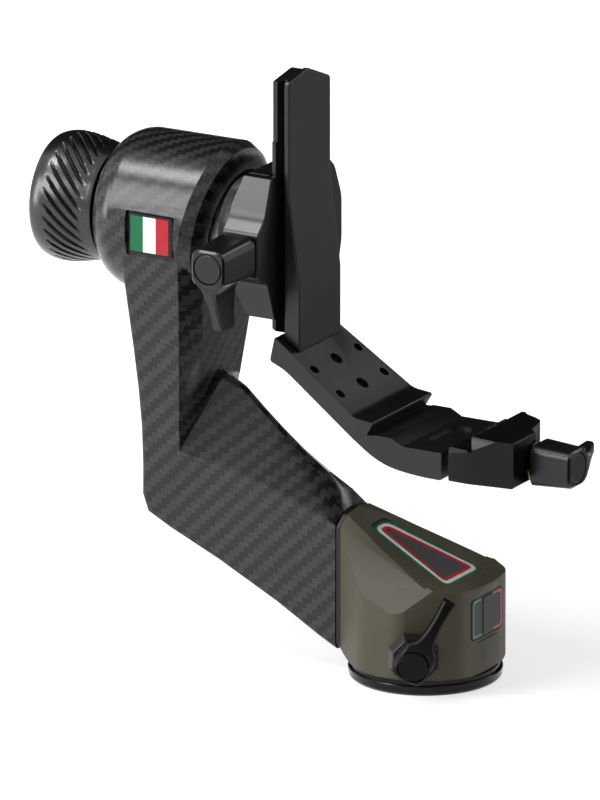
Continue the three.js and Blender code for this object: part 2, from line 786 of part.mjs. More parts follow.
// Band that runs round the panel's edge, on one side of the plate or on both.
function endBadgeBand(grow, sides) {
  const low = endBadgeFaceX - endStripeDepth - grow;
  const outer = solid(prismX(endBadgeShape(endBadgeStripe / 2 - grow), low, endBadgeFaceX + overrun));
  const inner = solid(prismX(endBadgeShape(endBadgeStripe * 1.5 + grow), low - overrun,
    housingEndX + overrun));
  const near = endPlateHalfWidth + endBadgeStripe - grow;
  const kept = sides.map((side) => solid(block(low - overrun, endBadgeFaceX + grow,
    side < 0 ? -endBadgeHalfWidth : near, side < 0 ? -near : endBadgeHalfWidth, 0, endBadgeTopZ)));
  return outer.subtract(inner).intersect(join(...kept));
}

function endBadgePanel() {
  const body = solid(prismX(endBadgeShape(0), endBadgeFaceX - endPanelThickness, endBadgeFaceX));
  const plateSeat = solid(prismX(endPlateShape(-inlaySeam), endBadgeFaceX - endStripeDepth,
    housingEndX + overrun));
  return cut(body, endBadgeBand(inlaySeam, [-1, 1]), plateSeat);
}

function endPlateShape(inset) {
  const half = endPlateHalfWidth - inset;
  const low = endBadgeBottomZ + endBadgeStripe / 2 + inset;
  const high = endBadgeTopZ - endBadgeStripe / 2 - inset;
  return outline([[-half, low], [half, low], [half, high], [-half, high]], Array(4).fill(endBadgeStripe));
}

function endBadgePlate() {
  return solid(prismX(endPlateShape(0), endBadgeFaceX - endStripeDepth + inlaySeam,
    endBadgeFaceX + endPlateProud));
}

// Arm: one shell, lofted from the barrel down the column, round the corner and along the beam
function armPoint([x, y, z], end) {
  return new THREE.Vector3(end ?? x * barrelLeftX, y * barrelRadius, z * tiltAxisZ);
}

// One closed ring of the arm's section at a station, with its outer corners eased.
function armRing(station, index) {
  const end = index === armStationShares.length - 1 ? armEndX : undefined;
  const [mid, outer, side, inner, crest] = station;
  const corner = armPoint(outer, end);
  const middle = armPoint([mid[0], 0, mid[1]], end);
  const edge = armPoint(side, end);
  const alongSide = corner.clone().add(edge.clone().sub(corner).setLength(armCornerEase));
  const onBack = corner.clone().add(middle.clone().sub(corner).setLength(armCornerEase));
  const eased = alongSide.clone().add(onBack).multiplyScalar(0.5).lerp(corner, armCornerShare);
  const half = [onBack, eased, alongSide, edge, armPoint(inner, end)];
  const front = armPoint([crest[0], 0, crest[1]], end);
  const mirror = half.map((v) => new THREE.Vector3(v.x, -v.y, v.z)).reverse();
  return [middle, ...half, front, ...mirror];
}

function middleOf(ring) {
  return ring.reduce((sum, v) => sum.add(v), new THREE.Vector3()).multiplyScalar(1 / ring.length);
}

function armOuter() {
  return solid(skinned(armStationShares.map(armRing)));
}

// Hollow of the arm: every ring drawn in by the wall and run out past the beam's open end.
function armHollow() {
  const rings = armStationShares.map(armRing).slice(armSolidStations).map((ring) => {
    const centre = middleOf(ring);
    return ring.map((v) => {
      const reach = centre.clone().sub(v);
      const step = Math.min(armWall * armWallDrawShare, reach.length() * armWallReachShare);
      return v.clone().add(reach.setLength(step));
    });
  });
  const end = rings[rings.length - 1].map((v) => v.clone().setX(armEndX + overrun));
  return solid(skinned([...rings, end]));
}

function barrelRing(x, radius, lean) {
  const ring = [];
  for (let i = 0; i < fineSteps; i += 1) {
    const angle = (i * 2 * Math.PI) / fineSteps;
    const height = radius * Math.sin(angle);
    ring.push(new THREE.Vector3(x + lean * height, radius * Math.cos(angle), tiltAxisZ + height));
  }
  return ring;
}

function barrel() {
  const dome = barrelShoulderX - barrelLeftX;
  const rise = barrelRadius - barrelLeftRadius;
  const rings = barrelDomeShares.map(([run, lift]) =>
    barrelRing(barrelLeftX + dome * run, barrelLeftRadius + rise * lift, 0));
  rings.push(barrelRing(barrelBorderX, barrelRadius + gap, barrelLeanShare));
  const chamferX = barrelBorderX + (barrelFaceX - barrelBorderX) * barrelChamferShare;
  const chamferRadius = barrelRadius + (barrelFaceRadius - barrelRadius) * barrelChamferDropShare;
  rings.push(barrelRing(chamferX, chamferRadius, barrelLeanShare));
  rings.push(barrelRing(barrelFaceX, barrelFaceRadius, barrelLeanShare));
  return solid(new ConvexGeometry(rings.flat()));
}

function tiltBores() {
  const core = turned([
    [0, barrelLeftX - overrun], [shaftRadius + 4 * gap, barrelLeftX - overrun],
    [shaftRadius + 4 * gap, tiltBearingLeftX - gap], [tiltBearingRadius + gap, tiltBearingLeftX - gap],
    [tiltBearingRadius + gap, tiltBearingLeftX + tiltBearingWidth + gap],
    [sleeveBoreRadius, tiltBearingLeftX + tiltBearingWidth + gap],
    [sleeveBoreRadius, tiltBearingRightX - gap], [tiltBearingRadius + gap, tiltBearingRightX - gap],
    [tiltBearingRadius + gap, retainerSeatX], [retainerRingRadius + gap, retainerSeatX],
    [retainerRingRadius + gap, barrelFaceX + barrelFaceRadius], [0, barrelFaceX + barrelFaceRadius],
  ]);
  return solid(at(alongX(core), 0, 0, tiltAxisZ));
}

const tiltBearingLeftX = barrelLeftX + tiltBearingWidth / 2;
const tiltBearingRightX = retainerSeatX - tiltBearingWidth - gap;

function labelBox(grow, depth) {
  const halfWidth = labelWidth / 2 + grow;
  const halfHeight = labelHeight / 2 + grow;
  const face = -barrelRadius;
  return solid(prismY(outline([
    [labelCentreX - halfWidth, labelCentreZ - halfHeight], [labelCentreX + halfWidth,
    labelCentreZ - halfHeight],
    [labelCentreX + halfWidth, labelCentreZ + halfHeight], [labelCentreX - halfWidth,
    labelCentreZ + halfHeight],
  ], Array(4).fill(labelRecessMargin)), face - overrun, face + depth));
}

function arm() {
  return cut(join(armOuter(), barrel()), armHollow(), tiltBores(), labelBox(labelRecessMargin,
    labelRecessDepth));
}

function armLabel() {
  const face = -barrelRadius + labelRecessDepth - gap;
  const keep = solid(block(labelCentreX - labelWidth, labelCentreX + labelWidth, face - labelThickness,
  face,
    labelCentreZ - labelHeight, labelCentreZ + labelHeight));
  return labelBox(0, labelRecessDepth).intersect(keep);
}

// Gasket with the tongue that carries the arm, and its two bolts
function armEndRing(inset, x) {
  const last = armStationShares.length - 1;
  const ring = armRing(armStationShares[last], last);
  const centre = middleOf(ring);
  return ring.map((v) => {
    const reach = centre.clone().sub(v);
    return v.clone().add(reach.setLength(Math.min(inset, reach.length()))).setX(x);
  });
}

function armTongue() {
  const gasket = solid(skinned([armEndRing(gasketInset, armEndX + gap), armEndRing(gasketInset,
    junctionX - gap)]));
  const stub = solid(block(armEndX - tongueLength, junctionX - gap * 2, -tongueHalfWidth, tongueHalfWidth,
    tongueLowZ, tongueHighZ));
  const holes = armBoltHoles();
  const pockets = [armBoltLowZ, armBoltHighZ].map((z) => solid(at(alongX(
    rod(armBoltHeadRadius + gap, armEndX - tongueLength - overrun, junctionX - armBoltGrip, boltSteps)),
      0, 0, z)));
  return cut(join(gasket, stub), ...holes, ...pockets);
}

function armBoltHoles() {
  return [armBoltLowZ, armBoltHighZ].map((z) => solid(at(alongX(
    rod(armBoltRadius + gap, armEndX - tongueLength - overrun, junctionX + armBoltGrip, boltSteps)), 0,
      0, z)));
}

function armBolt() {
  const seat = junctionX - armBoltGrip - gap;
  return solid(alongX(turned([
    [0, seat - armBoltHeadHeight], [armBoltHeadRadius, seat - armBoltHeadHeight], [armBoltHeadRadius, seat],
    [armBoltRadius, seat], [armBoltRadius, junctionX + armBoltGrip - gap], [0,
    junctionX + armBoltGrip - gap],
  ], boltSteps)));
}

// Tilt shaft, bearings and retainer, made along X about the tilt axis
const shaftFlangeX = retainerSeatX + gap + retainerRingWidth + gap;

function tiltShaft() {
  const tip = knobOuterX + knobRecessDepth + overrun;
  const low = barrelLeftX + gap * 4;
  const faceEnd = clampBackX - gap;
  const body = solid(alongX(turned([
    [0, tip], [shaftThreadRadius, tip], [shaftThreadRadius, low], [shaftRadius, low], [shaftRadius,
    shaftFlangeX],
    [shaftFlangeRadius, shaftFlangeX], [shaftFlangeRadius, shaftFlangeX + shaftFlangeWidth],
    [shaftCollarRadius, shaftFlangeX + shaftFlangeWidth], [shaftCollarRadius, faceEnd], [0, faceEnd],
  ])));
  const boltHole = solid(alongX(rod(shaftBoltRadius + gap, clampBackX - shaftBoltDepth - gap,
    clampBackX + overrun, boltSteps)));
  return body.subtract(boltHole);
}

function tiltBearing() {
  return bearingRing(shaftRadius + bearingPlay, tiltBearingRadius, 0, tiltBearingWidth);
}

function retainerRing() {
  return cut(
    solid(rod(retainerRingRadius, 0, retainerRingWidth)),
    solid(rod(shaftRadius + 4 * gap, -overrun, retainerRingWidth + overrun)));
}

// Tilt knob: a barrel-shaped grip with slanted grooves
function knobGrip() {
  const count = knobGrooves * knobFacetsPerGroove;
  const grip = knobGripShares.map((share, i) => [
    knobWidestX + (knobGrooveStartX - knobWidestX) * share,
    knobInnerRadius + (knobWidestRadius - knobInnerRadius) * knobGripDropShares[i],
  ]);
  const profile = [
    [knobOuterX, knobOuterRadius], [knobShoulderX, knobShoulderRadius], [knobGrooveEndX,
    knobWidestRadius - gap],
    [knobWidestX, knobWidestRadius], ...grip, [knobGrooveStartX, knobInnerRadius + gap], [knobInnerX,
    knobInnerRadius],
  ];
  const rings = profile.map(([x, radius]) => {
    const run = (x - knobGrooveStartX) / (knobGrooveEndX - knobGrooveStartX);
    const inside = run > 0 && run < 1 ? 1 : 0;
    const ring = [];
    for (let i = 0; i < count; i += 1) {
      const turn = (i * 2 * Math.PI) / count + toRad(knobGrooveTwistDeg) * THREE.MathUtils.clamp(run, 0, 1);
      const dip = inside && i % knobFacetsPerGroove === 0 ? knobGrooveDepth : 0;
      ring.push(new THREE.Vector3(x, (radius - dip) * Math.cos(turn), (radius - dip) * Math.sin(turn)));
    }
    return ring;
  });
  return solid(skinned(rings));
}

function tiltKnob() {
  const bore = alongX(turned([
    [0, knobOuterX - overrun], [knobRecessRadius, knobOuterX - overrun], [knobRecessRadius,
    knobOuterX + knobRecessDepth],
    [shaftThreadRadius + gap, knobOuterX + knobRecessDepth], [shaftThreadRadius + gap,
    knobInnerX + overrun],
    [0, knobInnerX + overrun],
  ]));
  return knobGrip().subtract(solid(bore));
}

function tiltKnobCap() {
  const face = knobOuterX + knobRecessDepth - gap - knobCapThickness;
  const ease = knobCapThickness / 4;
  return solid(alongX(turned([
    [0, face], [knobRecessRadius - gap - ease, face], [knobRecessRadius - gap, face + ease],
    [knobRecessRadius - gap, face + knobCapThickness], [0, face + knobCapThickness],
  ])));
}

function dragDisc() {
  const low = knobInnerX + gap;
  const high = barrelLeftX - gap;
  return cut(
    solid(alongX(rod(dragDiscRadius, low, high))),
    solid(alongX(rod(shaftThreadRadius + gap, low - overrun, high + overrun))));
}

// Riser clamp: fixed body, sliding near jaw and the parts that hold them
function clampShape() {
  return outline([
    [-clampTopHalfWidth, clampTopZ], [-clampTopHalfWidth - clampCornerStep, clampEarTopZ + clampCornerStep],
    [-clampHalfWidth, clampEarTopZ], [-clampHalfWidth, clampEarBottomZ],
    [-clampTopHalfWidth - clampHeelStep, clampEarBottomZ - clampHeelStep],
    [-clampTopHalfWidth + clampFootStep, clampBottomZ], [clampTopHalfWidth - clampFootStep, clampBottomZ],
    [clampHalfWidth - clampFootStep, clampEarBottomZ - clampHeelDrop],
    [clampHalfWidth, clampEarBottomZ], [clampHalfWidth, clampEarTopZ],
    [clampTopHalfWidth + clampCornerStep, clampTopZ - clampShoulderDrop],
    [clampTopHalfWidth - clampFootStep, clampTopZ],
  ], clampEases);
}

// Section of the dovetail rail in (Y, X) at a clearance all round, up to a front plane.
function railSection(grow, frontX, backX) {
  const edge = railBackX + railEdgeThickness;
  const half = railHalfWidth + grow;
  const neck = railNeckHalfWidth + grow;
  return outline([
    [-half, backX], [half, backX], [half, edge + grow], [neck, edge + railFlare + grow * 2], [neck, frontX],
    [-neck, frontX], [-neck, edge + railFlare + grow * 2], [-half, edge + grow],
  ]);
}

// Extrudes a (Y, X) section along Z.
function prismUp(shape, low, high) {
  const basis = new THREE.Matrix4().makeBasis(
    new THREE.Vector3(0, 1, 0), new THREE.Vector3(1, 0, 0), new THREE.Vector3(0, 0, -1));
  return prismZ(shape, -high, -low).applyMatrix4(basis);
}

function clampChannel() {
  return solid(prismUp(railSection(gap, clampFaceX + overrun, railBackX - gap), clampBottomZ - overrun,
    clampTopZ + overrun));
}

function clampWhole() {
  const body = solid(prismX(clampShape(), clampBackX, clampFaceX));
  const backRelief = [1, -1].map((side) => {
    const end = (side > 0 ? clampTopZ : clampBottomZ) + side * overrun;
    const inner = side > 0 ? clampEarTopZ + clampReliefRise : clampEarBottomZ - clampReliefRise;
    return solid(prismY(outline([
      [clampBackX - overrun, end], [clampBackX + clampReliefDepth, end], [clampBackX - clampReliefStart,
      inner],
    ]), -clampHalfWidth - overrun, clampHalfWidth + overrun));
  });
  return cut(body, clampChannel(), ...backRelief);
}

function clampBody() {
  const jawRoom = block(clampBackX - overrun, clampFaceX + overrun, -clampHalfWidth - overrun,
  clampJawSplitY,
    clampBottomZ - overrun, clampTopZ + overrun);
  const lipRoom = block(railBackX - gap, clampFaceX + overrun, -clampHalfWidth, 0,
    clampBottomZ - overrun, clampTopZ + overrun);
  const boltHole = solid(at(alongX(turned([
    [0, clampBackX - overrun], [shaftBoltRadius + gap, clampBackX - overrun], [shaftBoltRadius + gap,
    shaftBoltSeatX],
    [shaftBoltHeadRadius + gap, shaftBoltSeatX], [shaftBoltHeadRadius + gap, clampFaceX + overrun], [0,
    clampFaceX + overrun],
  ], boltSteps)), 0, 0, tiltAxisZ));
  return cut(clampWhole(), solid(jawRoom), solid(lipRoom), boltHole, clampScrewTunnel(),
    ...clampPinHoles());
}

const shaftBoltSeatX = railBackX - gap * 2 - shaftBoltHeadHeight;
const clampPinX = clampScrewX - 2 * gap;

// The clamp screw ends short of the shaft bolt, which crosses its line.
const clampScrewTipY = -shaftBoltHeadRadius - overrun;

function clampScrewTunnel() {
  const low = -clampScrewTipY - gap;
  return solid(at(alongNearSide(rod(clampScrewRadius + gap, low, clampHalfWidth + overrun, boltSteps)),
    clampScrewX, 0, clampScrewZ));
}

function clampPinHoles() {
  return [-clampJawPinSpread, clampJawPinSpread].map((dz) => solid(at(alongNearSide(
    rod(clampJawPinRadius + gap, clampPinStart - gap, clampPinStart + clampPinLength + gap, boltSteps)),
  clampPinX, 0, tiltAxisZ + dz)));
}

function clampJaw() {
  const keep = block(clampBackX - overrun, clampFaceX + overrun, -clampHalfWidth - overrun,
  clampJawSplitY - gap,
    clampBottomZ - overrun, clampTopZ + overrun);
  const lip = block(railBackX + gap, clampFaceX + overrun, -clampHalfWidth - overrun,
  -clampLipHalfWidth + gap,
    clampBottomZ - overrun, clampTopZ + overrun);
  return cut(
    clampWhole().intersect(solid(keep).add(solid(lip))),
    clampScrewTunnel(), ...clampPinHoles());
}

function clampPin() {
  return solid(alongNearSide(rod(clampJawPinRadius, clampPinStart, clampPinStart + clampPinLength,
    boltSteps)));
}

function shaftBolt() {
  const low = clampBackX - shaftBoltDepth;
  const top = shaftBoltSeatX + gap + shaftBoltHeadHeight;
  const body = solid(alongX(turned([
    [0, low], [shaftBoltRadius, low], [shaftBoltRadius, shaftBoltSeatX + gap], [shaftBoltHeadRadius,
    shaftBoltSeatX + gap],
    [shaftBoltHeadRadius, top], [0, top],
  ], boltSteps)));
  const socket = new THREE.CylinderGeometry(shaftBoltHeadRadius / 2, shaftBoltHeadRadius / 2,
    shaftBoltHeadHeight, 6);
  return cut(body, solid(socket.rotateZ(Math.PI / 2).translate(top, 0, 0)));
}

// Riser: front plate bent outwards low down, dovetail rail behind it
function riserOutline(half, drop) {
  return outline([
    [-half, bracketBendZ], [half, bracketBendZ],
    [half, riserFarTopZ - drop], [riserPeakY, riserPeakZ - drop], [-half, riserNearTopZ - drop],
  ], [0, 0, riserTopEase, riserTopEase, riserTopEase]);
}

const bracketSlopeShare = (bracketTopZ - bracketBendZ) / (bracketTopX - bracketBendX);

function bracketTopAt(x) {
  return bracketTopZ + (x - bracketTopX) * bracketSlopeShare;
}

function riserPlate() {
  const side = outline([
    [plateBackX, bracketTopAt(plateBackX) + gap], [plateFootX, bracketTopAt(plateFootX) + gap],
    [plateFootX, plateBendLowZ], [plateFrontX, plateBendZ], [plateFrontX, riserPeakZ + overrun],
    [plateBackX, riserPeakZ + overrun],
  ]);
  const body = solid(prismY(side, -plateHalfWidth, plateHalfWidth)).intersect(
    solid(prismX(riserOutline(plateHalfWidth, 0), plateBackX - overrun, plateFootX + overrun)));
  return cut(body, ...railBoltHoles(), ...bracketBoltHoles());
}

const railFrontX = plateBackX - gap;

function riserRail() {
  const low = bracketTopAt(railBackX) + gap;
  const body = solid(prismUp(railSection(0, railFrontX, railBackX), bracketTopZ - overrun,
    riserPeakZ)).intersect(
    solid(prismX(riserOutline(railHalfWidth, railStepDrop), railBackX - overrun, railFrontX + overrun)));
  const foot = solid(prismY(outline([
    [railBackX - overrun, bracketBendZ], [railFrontX + overrun, bracketBendZ],
    [railFrontX + overrun, bracketTopAt(railFrontX + overrun) + gap * 2], [railBackX - overrun,
    low + gap * 2],
  ]), -railHalfWidth * 2, railHalfWidth * 2));
  const upper = railHalfWidth - railStepDrop;
  const steps = [-1, 1].map((side) => solid(block(railBackX - overrun,
  railBackX + railEdgeThickness + railFlare,
    side < 0 ? -railHalfWidth - overrun : upper, side < 0 ? -upper : railHalfWidth + overrun,
    railStepZ, riserPeakZ + overrun)));
  return cut(body, foot, ...steps, ...railBoltHoles(), ...railBoltHeads(gap));
}

function railBoltHoles() {
  return railBoltHeights.map((z) => solid(at(alongX(
    rod(railBoltRadius + gap, railBackX - overrun, plateFrontX - gap * 2, boltSteps)), 0, 0, z)));
}

function railBoltHeads(grow) {
  return railBoltHeights.map((z) => solid(at(alongX(
    rod(railBoltHeadRadius + grow, railBackX - overrun, railBackX + railBoltHeadHeight + grow * 2,
      boltSteps)), 0, 0, z)));
}

function railBolt() {
  const face = railBackX + gap;
  return solid(alongX(turned([
    [0, face], [railBoltHeadRadius, face], [railBoltHeadRadius, face + railBoltHeadHeight],
    [railBoltRadius, face + railBoltHeadHeight], [railBoltRadius, plateFrontX - gap * 4], [0,
    plateFrontX - gap * 4],
  ], boltSteps)));
}

// Cradle bracket: slanted plate, fixed jaw and the floor of the lens clamp
function cradleBracket() {
  const profile = outline([
    [bracketTopX, bracketTopZ], [bracketBackX, bracketUnderZ + bracketBackRise],
    [bracketUnderX, bracketUnderZ], [bracketHeelX, bracketHeelZ], [bracketFlatX, bracketBottomZ],
    [bracketEndX, bracketBottomZ], [bracketEndX, slotFloorZ], [slotStartX, slotFloorZ], [seatEdgeX, seatZ],
    [bracketNoseX + gap, seatZ], [bracketNoseX + gap, seatZ - seatReliefDepth],
    [bracketUndercutX, seatZ - seatReliefDepth], [bracketNoseX, bracketNoseZ - gap * 3],
    [bracketNoseX, bracketNoseZ], [bracketBendX, bracketBendZ],
  ], bracketEases);
  const plan = outline([
    [bracketTopX - overrun * 2, -bracketTopHalfWidth], [bracketUnderX, -bracketTopHalfWidth],
    [bracketBendX, -bracketHalfWidth],
    [bracketEndX + overrun, -bracketHalfWidth], [bracketEndX + overrun, bracketHalfWidth],
    [bracketBendX, bracketHalfWidth], [bracketUnderX, bracketTopHalfWidth], [bracketTopX - overrun * 2,
    bracketTopHalfWidth],
  ]);
  const body = solid(prismY(profile, -bracketHalfWidth, bracketHalfWidth)).intersect(
    solid(prismZ(plan, 0, bracketTopZ + overrun)));
  return cut(body, ...bracketHoles(), ...bracketBoltHoles(), seatSlot(), lensScrewHole(),
    ...lensPinHoles(0));
}

function bracketHoles() {
  const tilt = Math.atan(-bracketSlopeShare);
  const reach = bracketTopZ - bracketBendZ;
  const rows = [bracketHoleRowOneX, bracketHoleRowTwoX];
  return rows.flatMap((x) => [-bracketHoleSpreadY, 0, bracketHoleSpreadY].map((y) => {
    const radius = y === 0 ? bracketCentreHoleRadius : bracketHoleRadius;
    const drill = rod(radius, -reach, reach, boltSteps).rotateY(tilt);
    return solid(at(drill, x, y, bracketTopAt(x)));
  }));
}

const bracketBoltX = (plateBackX + plateFootX) / 2;

function bracketBoltHoles() {
  return [-bracketBoltSpreadY, bracketBoltSpreadY].flatMap((y) => [
    solid(at(rod(bracketBoltRadius + gap, bracketBottomZ, bracketBoltTopZ + gap, boltSteps),
    bracketBoltX, y, 0)),
    solid(at(rod(bracketBoltHeadRadius + gap, bracketBottomZ, bracketBoltSeatZ, boltSteps), bracketBoltX,
    y, 0)),
  ]);
}

const bracketBoltSeatZ = bracketUnderZ + bracketBoltSink;
const bracketBoltTopZ = bracketBoltSeatZ + bracketBoltLength;

function bracketBolt() {
  const seat = bracketBoltSeatZ - gap;
  return solid(turned([
    [0, seat - bracketBoltHeadHeight], [bracketBoltHeadRadius, seat - bracketBoltHeadHeight],
    [bracketBoltHeadRadius, seat],
    [bracketBoltRadius, seat], [bracketBoltRadius, bracketBoltTopZ], [0, bracketBoltTopZ],
  ], boltSteps));
}

// Shallow round-ended slot in the floor between the seats
function seatSlot() {
  const centre = (slotStartX + bracketEndX) / 2;
  const half = slotLength / 2;
  const shape = outline([
    [centre - half, -bracketHalfWidth / 2], [centre + half, -bracketHalfWidth / 2],
    [centre + half, bracketHalfWidth / 2], [centre - half, bracketHalfWidth / 2],
  ], Array(4).fill(half * slotEndShare));
  return solid(prismZ(shape, slotFloorZ - overrun / 2, slotFloorZ + overrun));
}

function lensScrewHole() {
  return solid(at(alongX(rod(lensScrewRadius + gap, 0, jawEndX + overrun, boltSteps)), 0, 0, lensScrewZ));
}

function lensPinHoles(from) {
  return [-lensPinSpreadY, lensPinSpreadY].map((y) => solid(at(alongX(
    rod(lensPinRadius + gap, from, lensPinEndX + gap, boltSteps)), 0, y, lensScrewZ)));
}


function lensPin() {
  return solid(alongX(rod(lensPinRadius, gap, lensPinEndX - lensPinTravel, boltSteps)));
}

function lensJaw() {
  const startX = bracketEndX + jawGap;
  const profile = outline([
    [startX, bracketBottomZ + gap], [jawEndX, bracketBottomZ], [jawEndX, jawTopZ], [jawLipX, jawTopZ],
    [jawLipX, jawTopZ - gap * 3], [jawUndercutX, seatZ - seatReliefDepth],
    [jawLipX - gap, seatZ - seatReliefDepth], [jawLipX - gap, seatZ], [startX, seatZ],
  ], jawEases);
  const plan = outline([
    [startX, -jawNearHalfWidth], [jawLipX, -jawNearHalfWidth], [jawRampEndX, -jawRampHalfWidth],
    [jawEndX + overrun, -jawEndHalfWidth], [jawEndX + overrun, -jawNearY], [jawEndX, -jawNearY],
    [jawStepX, jawStepY], [jawFarX, jawFarY], [jawFarCornerX, jawFarCornerY], [jawFarRampX, jawFarRampY],
    [jawLipX, jawNearHalfWidth], [startX, jawNearHalfWidth],
  ], jawPlanEases);
  const body = solid(prismY(profile, -jawNearHalfWidth, jawNearHalfWidth)).intersect(
    solid(prismZ(plan, 0, jawTopZ + overrun)));
  const low = new THREE.Vector3(jawLipX - jawRampLead, -jawNearHalfWidth, seatZ - jawRampSink);
  const high = new THREE.Vector3(jawRampEndX, -jawRampHalfWidth, jawTopZ - gap);
  const back = new THREE.Vector3(jawLipX, -jawEndHalfWidth, jawTopZ);
  const ramp = beyondPlane(low, high, back, jawEndX);
  const pocket = at(alongX(rod(jawPocketRadius, jawPocketX, jawEndX + overrun)), 0, 0, lensScrewZ);
  return cut(body, solid(ramp), solid(mirroredY(ramp)), solid(pocket), lensScrewHole(),
    ...lensPinHoles(bracketEndX));
}

// Ring of a rounded polygon at one height; half is the distance from the axis to a flat side.
function hubRing(half, z) {
  const reach = half / Math.cos(Math.PI / leverSides);
  const corners = Array.from({ length: leverSides }, (_, i) => {
    const angle = ((i + leverTurnShare) * 2 * Math.PI) / leverSides;
    return [reach * Math.cos(angle), reach * Math.sin(angle)];
  });
  const points = outline(corners, Array(leverSides).fill(reach * leverCornerShare)).getPoints(flatSteps);
  points.pop();
  return points.map(({ x, y }) => new THREE.Vector3(x, y, z));
}

// Lever knob about +Z with its wing along +X, inner end at zero
function leverShape(length, innerHalf, outerHalf, wing) {
  const hub = solid(skinned([
    hubRing(innerHalf - leverEase, 0), hubRing(innerHalf, leverEase), hubRing(outerHalf,
    length - leverEase),
    hubRing(outerHalf - leverEase, length),
  ]));
  const rings = leverWingShares.map(([run, width, inner, outer]) => {
    const x = wing.length * run;
    const half = wing.rootHalf * width;
    const low = wing.innerDrop * inner;
    const high = length - wing.outerDrop * outer;
    return [
      [-half, low], [half, low], [half, high - leverEase], [half - leverEase, high],
      [-half + leverEase, high], [-half, high - leverEase],
    ].map(([y, z]) => new THREE.Vector3(x, y, z));
  });
  return join(hub, solid(skinned(rings)));
}

function capSeat(length) {
  return solid(rod(leverCapRadius + leverCapGroove, length - leverCapThickness - gap, length + overrun));
}

function screwLever(length, boss = 0) {
  const body = leverShape(length, leverInnerHalf, leverOuterHalf, {
    length: leverWingLength, rootHalf: leverWingRootHalf, innerDrop: leverWingInnerDrop,
    outerDrop: leverWingOuterDrop,
  });
  const stud = solid(rod(lensScrewRadius + gap, -boss - overrun,
    length - leverCapThickness * leverStudShare, boltSteps));
  const foot = boss > 0 ? [solid(rod(lensBossRadius, -boss, leverEase))] : [];
  return cut(join(body, ...foot), capSeat(length), stud);
}

function leverCap(length) {
  const ease = leverCapGroove;
  return solid(turned([
    [0, length - leverCapThickness], [leverCapRadius, length - leverCapThickness], [leverCapRadius,
    length - ease],
    [leverCapRadius - ease, length], [0, length],
  ]));
}

function leverScrew(radius, reach, length) {
  return solid(rod(radius, -reach, length - leverCapThickness * leverStudShare - gap, boltSteps));
}

function panLever() {
  const body = leverShape(panLeverLength, panLeverHubHalf, panLeverHubHalf - leverEase / 2, {
    length: panWingLength, rootHalf: panWingRootHalf, innerDrop: panWingInnerDrop,
    outerDrop: panWingOuterDrop,
  });
  const stud = solid(rod(panScrewRadius + gap, -overrun, panLeverLength - leverCapThickness * 2,
    boltSteps));
  return cut(body, capSeat(panLeverLength), stud);
}

// Eight-sided collar that stands on the housing's flat, made along +Z from the flat
function panCollar() {
  const body = new THREE.CylinderGeometry(panCollarTopRadius, panCollarRadius, panCollarHeight, 8);
  return cut(
    solid(body.rotateY(Math.PI / 8).rotateX(Math.PI / 2).translate(0, 0, panCollarHeight / 2)),
    solid(rod(panScrewRadius + gap, -overrun, panCollarHeight + overrun, boltSteps)));
}

const panCollarStart = housingFlatDistance + gap;
const panLeverStart = panCapDistance - panLeverLength;

function panBoreAlong(radius, low, high) {
  return solid(alongX(rod(radius, low, high, boltSteps)).applyMatrix4(panCollarFrame()));
}

function panScrewBore() {
  return panBoreAlong(brakePadRadius + gap, spindleRadius, housingFlatDistance + overrun * 2);
}

const brakePadStart = spindleRadius + gap;
const panScrewTip = brakePadStart + brakePadLength + gap;

function brakePad() {
  return solid(rod(brakePadRadius, 0, brakePadLength, boltSteps));
}

function panScrew() {
  return solid(rod(panScrewRadius, panScrewTip - panLeverStart,
    panLeverLength - leverCapThickness * 2 - gap, boltSteps));
}

// Washer in the lens jaw's pocket, under the lever's boss
const lensLeverStart = jawEndX + gap;
const lensBossLength = lensLeverStart - jawPocketX - gap * 2 - washerThickness;

function lensWasher() {
  return cut(
    solid(rod(washerRadius, 0, washerThickness)),
    solid(rod(lensScrewRadius + gap, -overrun, washerThickness + overrun, boltSteps)));
}

// Group whose +Z is a lever's axis and whose +X is its wing.
function leverFrame(place, axis, wing) {
  const z = new THREE.Vector3(...axis);
  const x = new THREE.Vector3(...wing);
  const frame = new THREE.Group();
  frame.quaternion.setFromRotationMatrix(new THREE.Matrix4().makeBasis(x, z.clone().cross(x), z));
  frame.position.set(...place);
  return frame;
}

// Assembly
const head = new THREE.Group();

head.add(piece('base_flange', baseFlange(), 'blackMetal'));
head.add(piece('thread_bush', threadedBush(), 'steel'));
head.add(piece('pan_spindle', panSpindle(), 'steel'));
flangeBoltSpots.forEach(([x, y], i) => {
  const screw = piece(`flange_screw_${i + 1}`, flangeScrew(), 'steel');
  screw.position.set(x, y, 0);
  head.add(screw);
});
head.add(piece('pan_bearing_lower', panBearingLower(), 'steel'));
head.add(piece('pan_bearing_upper', panBearingUpper(), 'steel'));
head.add(piece('pan_retaining_washer', panRetainingWasher(), 'steel'));
head.add(piece('pan_retaining_screw', panRetainingScrew(), 'steel'));
head.add(piece('housing', housing(), 'olive'));

const badge = badgeFrame();
badge.add(piece('top_badge_green', badgeBand(0), 'green'));
badge.add(piece('top_badge_white', badgeBand(badgeStripe), 'white'));
badge.add(piece('top_badge_red', badgeBand(badgeStripe * 2), 'red'));
badge.add(piece('top_badge_centre', badgeCentre(), 'darkInlay'));
head.add(badge);
head.add(piece('end_badge_panel', endBadgePanel(), 'darkInlay'));
head.add(piece('end_badge_green', endBadgeBand(0, [-1]), 'green'));
head.add(piece('end_badge_red', endBadgeBand(0, [1]), 'red'));
head.add(piece('end_badge_plate', endBadgePlate(), 'darkInlay'));

